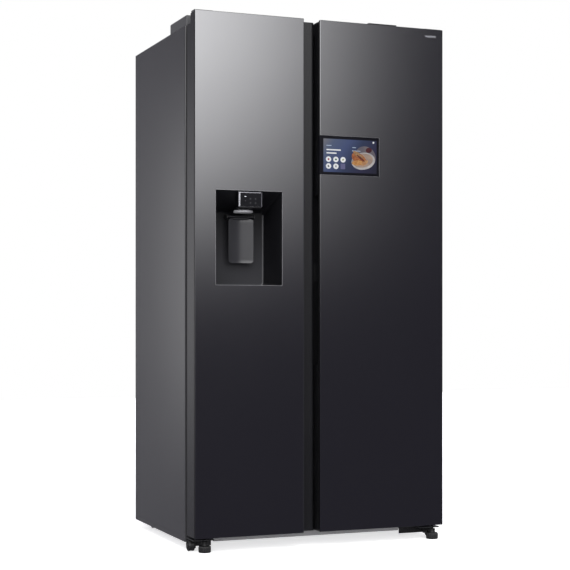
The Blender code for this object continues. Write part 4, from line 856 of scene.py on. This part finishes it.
def open_bin(name, lo, hi, wall, r, body, mat, node=None, rim=0.0016, seg=4):
    """A thin moulded bin with round corners and a turned-over rim."""
    bm = open_block(bmesh.new(), lo, hi, r, seg, 2, 1)
    obj = make(name, bm, body, mat, stands_for=(node,) if node else (), closed=False, angle=45)
    solidify(obj, wall)
    section = [(0.0, hi[2] - 0.0046), (rim, hi[2] - 0.0040), (rim, hi[2] - 0.0004), (rim * 0.5, hi[2]), (-wall, hi[2]), (-wall - 0.0004, hi[2] - 0.0006), (-wall + 0.0003, hi[2] - 0.0046)]
    make(name + "_rim", rim_frame(bmesh.new(), lo[0], hi[0], lo[1], hi[1], r, section, seg), body, "frost_plastic", slot="clear_plastic", angle=50)
    return obj


for node, body in (("freezer_drawer_lower", "freezer_drawer_low"), ("freezer_drawer_upper", "freezer_drawer_up"), ("crisper_lower", "crisper_low"), ("crisper_upper", "crisper_up")):
    lo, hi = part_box(node)
    open_bin(node + "_tub", lo, hi, 0.0024, 0.0120, body, "clear_plastic", node)
    # Frosted front with a finger ledge and a plain pale band.
    rbox(node + "_front", (lo.x + 0.0015, lo.y - 0.0012, lo.z + 0.0015), (hi.x - 0.0015, lo.y + 0.0012, hi.z - 0.0010), 0.0010, body, "frost_plastic", slot="clear_plastic", seg=3)
    rbox(node + "_grip", (lo.x + 0.0300, lo.y - 0.0100, hi.z - 0.0340), (hi.x - 0.0300, lo.y + 0.0140, hi.z - 0.0270), 0.0028, body, "frost_plastic", slot="clear_plastic", seg=4)
    rbox(node + "_band", (lo.x + 0.0200, lo.y - 0.0018, hi.z - 0.0240), (hi.x - 0.0200, lo.y + 0.0004, hi.z - 0.0100), 0.0008, body, "grey_vent", slot="white_plastic", seg=2)


def door_bin(name, lo, hi, body, node=None, wall=0.0026):
    open_bin(name + "_shell", lo, hi, wall, 0.0100, body, "clear_plastic", node)
    rbox(name + "_band", (lo[0] + 0.016, hi[1] - 0.0006, hi[2] - 0.0260), (hi[0] - 0.016, hi[1] + 0.0012, hi[2] - 0.0110), 0.0008, body, "frost_plastic", slot="clear_plastic", seg=2)


for node, body in (("freezer_door_bin", "freezer_door"), ("fridge_door_bin", "fridge_door"), ("dairy_bin", "fridge_door")):
    lo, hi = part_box(node)
    door_bin(node, lo, hi, body, node)
f_lo, f_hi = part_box("fridge_door_bin")
for i, z in enumerate((0.620, 1.235)):
    door_bin(f"fridge_door_extra_bin_{i}", (f_lo.x, f_lo.y, z), (f_hi.x, f_hi.y, z + 0.120), "fridge_door")
lo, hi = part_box("ice_bucket")
open_bin("ice_bucket_shell", lo, hi, 0.0030, 0.0140, "freezer_door", "frost_plastic", "ice_bucket", seg=5)
lo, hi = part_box("dairy_lid")
bm = block(bmesh.new(), (lo.x, D(0.0990), 1.5910), (hi.x, hi.y, 1.5940), 0.0012, 3)
block(bm, (lo.x, hi.y - 0.0028, lo.z), (hi.x, hi.y, 1.5936), 0.0012, 3)
make("dairy_lid_cover", bm, "dairy_cover", "frost_plastic", slot="clear_plastic", stands_for=("dairy_lid",))

# ------------------------------------------------------------------ door liners and seals
for word, body, dike in (("freezer", "freezer_door", ((-0.3950, -0.3866), (-0.0834, -0.0750))), ("fridge", "fridge_door", ((0.0382, 0.0466), (0.3934, 0.4018)))):
    lo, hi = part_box(word + "_door_liner")
    y0, y1 = lo.y, D(0.0970)
    pan = rbox(word + "_door_pan", (lo.x, y0, lo.z), (hi.x, y1, hi.z), 0.0040, body, "white_plastic", seg=4, stands_for=(word + "_door_liner",), which=lambda e: not all(v.co.y < y0 + 1e-5 for v in e.verts))
    if word == "freezer":
        carve(pan, block(bmesh.new(), (-0.3905, D(0.08), 0.8685), (-0.1435, D(0.12), 1.2065)))
    make(word + "_door_raised_edge", ring_frame(bmesh.new(), lo.x + 0.012, hi.x - 0.012, lo.z + 0.012, hi.z - 0.012, 0.020,
         [(0.0060, y1 - 0.0010), (0.0046, y1 + 0.0060), (0.0020, y1 + 0.0098), (-0.0020, y1 + 0.0098), (-0.0046, y1 + 0.0060), (-0.0060, y1 - 0.0010)], 8), body, "white_plastic", angle=50)
    for i, (a, b) in enumerate(dike):
        rbox(f"{word}_door_dike_{i}", (a, y1 - 0.002, 0.585), (b, D(0.1520), 1.690), 0.0034, body, "white_plastic", seg=4)
    g_lo, g_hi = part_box(word + "_door_gasket")
    mid = 0.0080
    section = [(0.0072, g_lo.y + 0.0002), (0.0078, g_lo.y + 0.0045), (0.0048, g_lo.y + 0.0070), (0.0078, g_lo.y + 0.0098), (0.0078, g_lo.y + 0.0155), (0.0060, g_hi.y - 0.0012), (0.0030, g_hi.y - 0.0001),
               (-0.0030, g_hi.y - 0.0001), (-0.0060, g_hi.y - 0.0012), (-0.0078, g_lo.y + 0.0155), (-0.0078, g_lo.y + 0.0098), (-0.0048, g_lo.y + 0.0070), (-0.0078, g_lo.y + 0.0045), (-0.0072, g_lo.y + 0.0002)]
    make(word + "_door_seal", ring_frame(bmesh.new(), g_lo.x + mid, g_hi.x - mid, g_lo.z + mid, g_hi.z - mid, 0.010, section, 6), body, "gasket_rubber", stands_for=(word + "_door_gasket",), angle=50)
bm = open_block(bmesh.new(), (-0.3925, D(0.0950), 0.8665), (-0.1415, D(0.1228), 1.2085), 0.0100, 5, 1, -1)
bulge = make("dispenser_back_bulge", bm, "freezer_door", "white_plastic", closed=False, angle=45)
solidify(bulge, 0.0014)

# ------------------------------------------------------------------ light
world = bpy.data.worlds.new("studio")
SCENE.world = world
world.use_nodes = True
wt = world.node_tree
for node in list(wt.nodes):
    wt.nodes.remove(node)


def wn(kind, **values):
    node = wt.nodes.new(kind)
    for key, value in values.items():
        if key in ("operation", "interpolation_type", "data_type", "blend_type"):
            setattr(node, key, value)
        else:
            node.inputs[int(key[1:])].default_value = value
    return node


def wmath(op, a, b=None):
    node = wn("ShaderNodeMath", operation=op)
    for i, v in enumerate((a, b)):
        if v is None:
            continue
        if isinstance(v, (int, float)):
            node.inputs[i].default_value = v
        else:
            wt.links.new(v, node.inputs[i])
    return node.outputs[0]


def wstep(value, lo, hi):
    """0 at lo, 1 at hi, smooth between; lo may be above hi."""
    node = wt.nodes.new("ShaderNodeMapRange")
    node.interpolation_type = "SMOOTHSTEP"
    a, b = (lo, hi) if lo < hi else (hi, lo)
    node.inputs["From Min"].default_value = a
    node.inputs["From Max"].default_value = b
    node.inputs["To Min"].default_value = 0.0 if lo < hi else 1.0
    node.inputs["To Max"].default_value = 1.0 if lo < hi else 0.0
    wt.links.new(value, node.inputs["Value"])
    return node.outputs["Result"]


coord = wt.nodes.new("ShaderNodeTexCoord")
split = wt.nodes.new("ShaderNodeSeparateXYZ")
wt.links.new(coord.outputs["Generated"], split.inputs[0])
wx, wy, wz = split.outputs
deg = 57.29578
front_az = wmath("MULTIPLY", wmath("ARCTAN2", wx, wmath("MULTIPLY", wy, -1.0)), deg)   # 0 straight in front, + to the right
elev = wmath("MULTIPLY", wmath("ARCSINE", wz), deg)
back_az = wmath("MULTIPLY", wmath("ARCTAN2", wmath("MULTIPLY", wx, -1.0), wy), deg)    # 0 straight behind, + to the left

# Large soft box, front left and above; its right and lower edges fall off softly.
key = wmath("MULTIPLY", wmath("MULTIPLY", wstep(front_az, 27.1, 15.7), wstep(front_az, -75.0, -50.0)),
            wmath("MULTIPLY", wstep(elev, 0.2, 13.2), wstep(elev, 75.0, 45.0)))
# White surroundings behind and to the sides.
rear = wmath("MULTIPLY", wstep(wy, -0.05, 0.35), 0.10)
# A soft card at the rear left that lights the side at a low angle.
card = wmath("MULTIPLY", wmath("MULTIPLY", wstep(back_az, 15.9, 19.4), wstep(back_az, 70.0, 40.0)),
             wmath("MULTIPLY", wstep(elev, -8.5, 1.5), wstep(elev, 11.5, 3.5)))
# A weak card on the right, seen only in the edges that face it.
right_card = wmath("MULTIPLY", wmath("MULTIPLY", wstep(front_az, 50.0, 72.0), wstep(front_az, 125.0, 105.0)),
                   wmath("MULTIPLY", wstep(elev, -25.0, 0.0), wstep(elev, 60.0, 30.0)))
top = wmath("ADD", wmath("MULTIPLY", wstep(elev, 45.0, 85.0), 0.8), wmath("MULTIPLY", right_card, 0.55))
level = wmath("ADD", wmath("MULTIPLY", key, 4.05), wmath("ADD", rear, wmath("ADD", wmath("MULTIPLY", card, 0.95), top)))
lit = wt.nodes.new("ShaderNodeBackground")
lit.inputs["Color"].default_value = (1.0, 1.0, 1.0, 1)
wt.links.new(level, lit.inputs["Strength"])
room = wt.nodes.new("ShaderNodeBackground")              # dim cool surroundings
room.inputs["Color"].default_value = (1.0, 0.95, 1.28, 1)
wt.links.new(wmath("ADD", wmath("MULTIPLY", wstep(elev, -60.0, 60.0), 0.01), 0.074), room.inputs["Strength"])
both = wt.nodes.new("ShaderNodeAddShader")
wt.links.new(lit.outputs[0], both.inputs[0])
wt.links.new(room.outputs[0], both.inputs[1])
seen = wt.nodes.new("ShaderNodeBackground")
seen.inputs["Color"].default_value = (1, 1, 1, 1)
path = wt.nodes.new("ShaderNodeLightPath")
pick = wt.nodes.new("ShaderNodeMixShader")
wt.links.new(path.outputs["Is Camera Ray"], pick.inputs[0])
wt.links.new(both.outputs[0], pick.inputs[1])
wt.links.new(seen.outputs[0], pick.inputs[2])
world_out = wt.nodes.new("ShaderNodeOutputWorld")
wt.links.new(pick.outputs[0], world_out.inputs[0])

# Pale floor.
floor_mat = material("floor_paper", (0.86, 0.86, 0.87), 0.9, var=0.01, patch=1.5, grain_scale=300, bump=0.02, emission=(1, 1, 1), strength=0.66)
bm = bmesh.new()
bmesh.ops.create_grid(bm, x_segments=8, y_segments=8, size=9.0)
floor_mesh = bpy.data.meshes.new("floor")
bm.to_mesh(floor_mesh)
bm.free()
floor_mesh.materials.append(floor_mat)
floor = bpy.data.objects.new("floor", floor_mesh)
floor.location = (0, 0, -0.0002)
SCENE.collection.objects.link(floor)
floor.visible_glossy = False

# Large flats keep flat normals beside their rounded edges.
for obj in PIECES:
    level_out = obj.modifiers.new("normals", "WEIGHTED_NORMAL")
    level_out.keep_sharp = True
    level_out.weight = 100
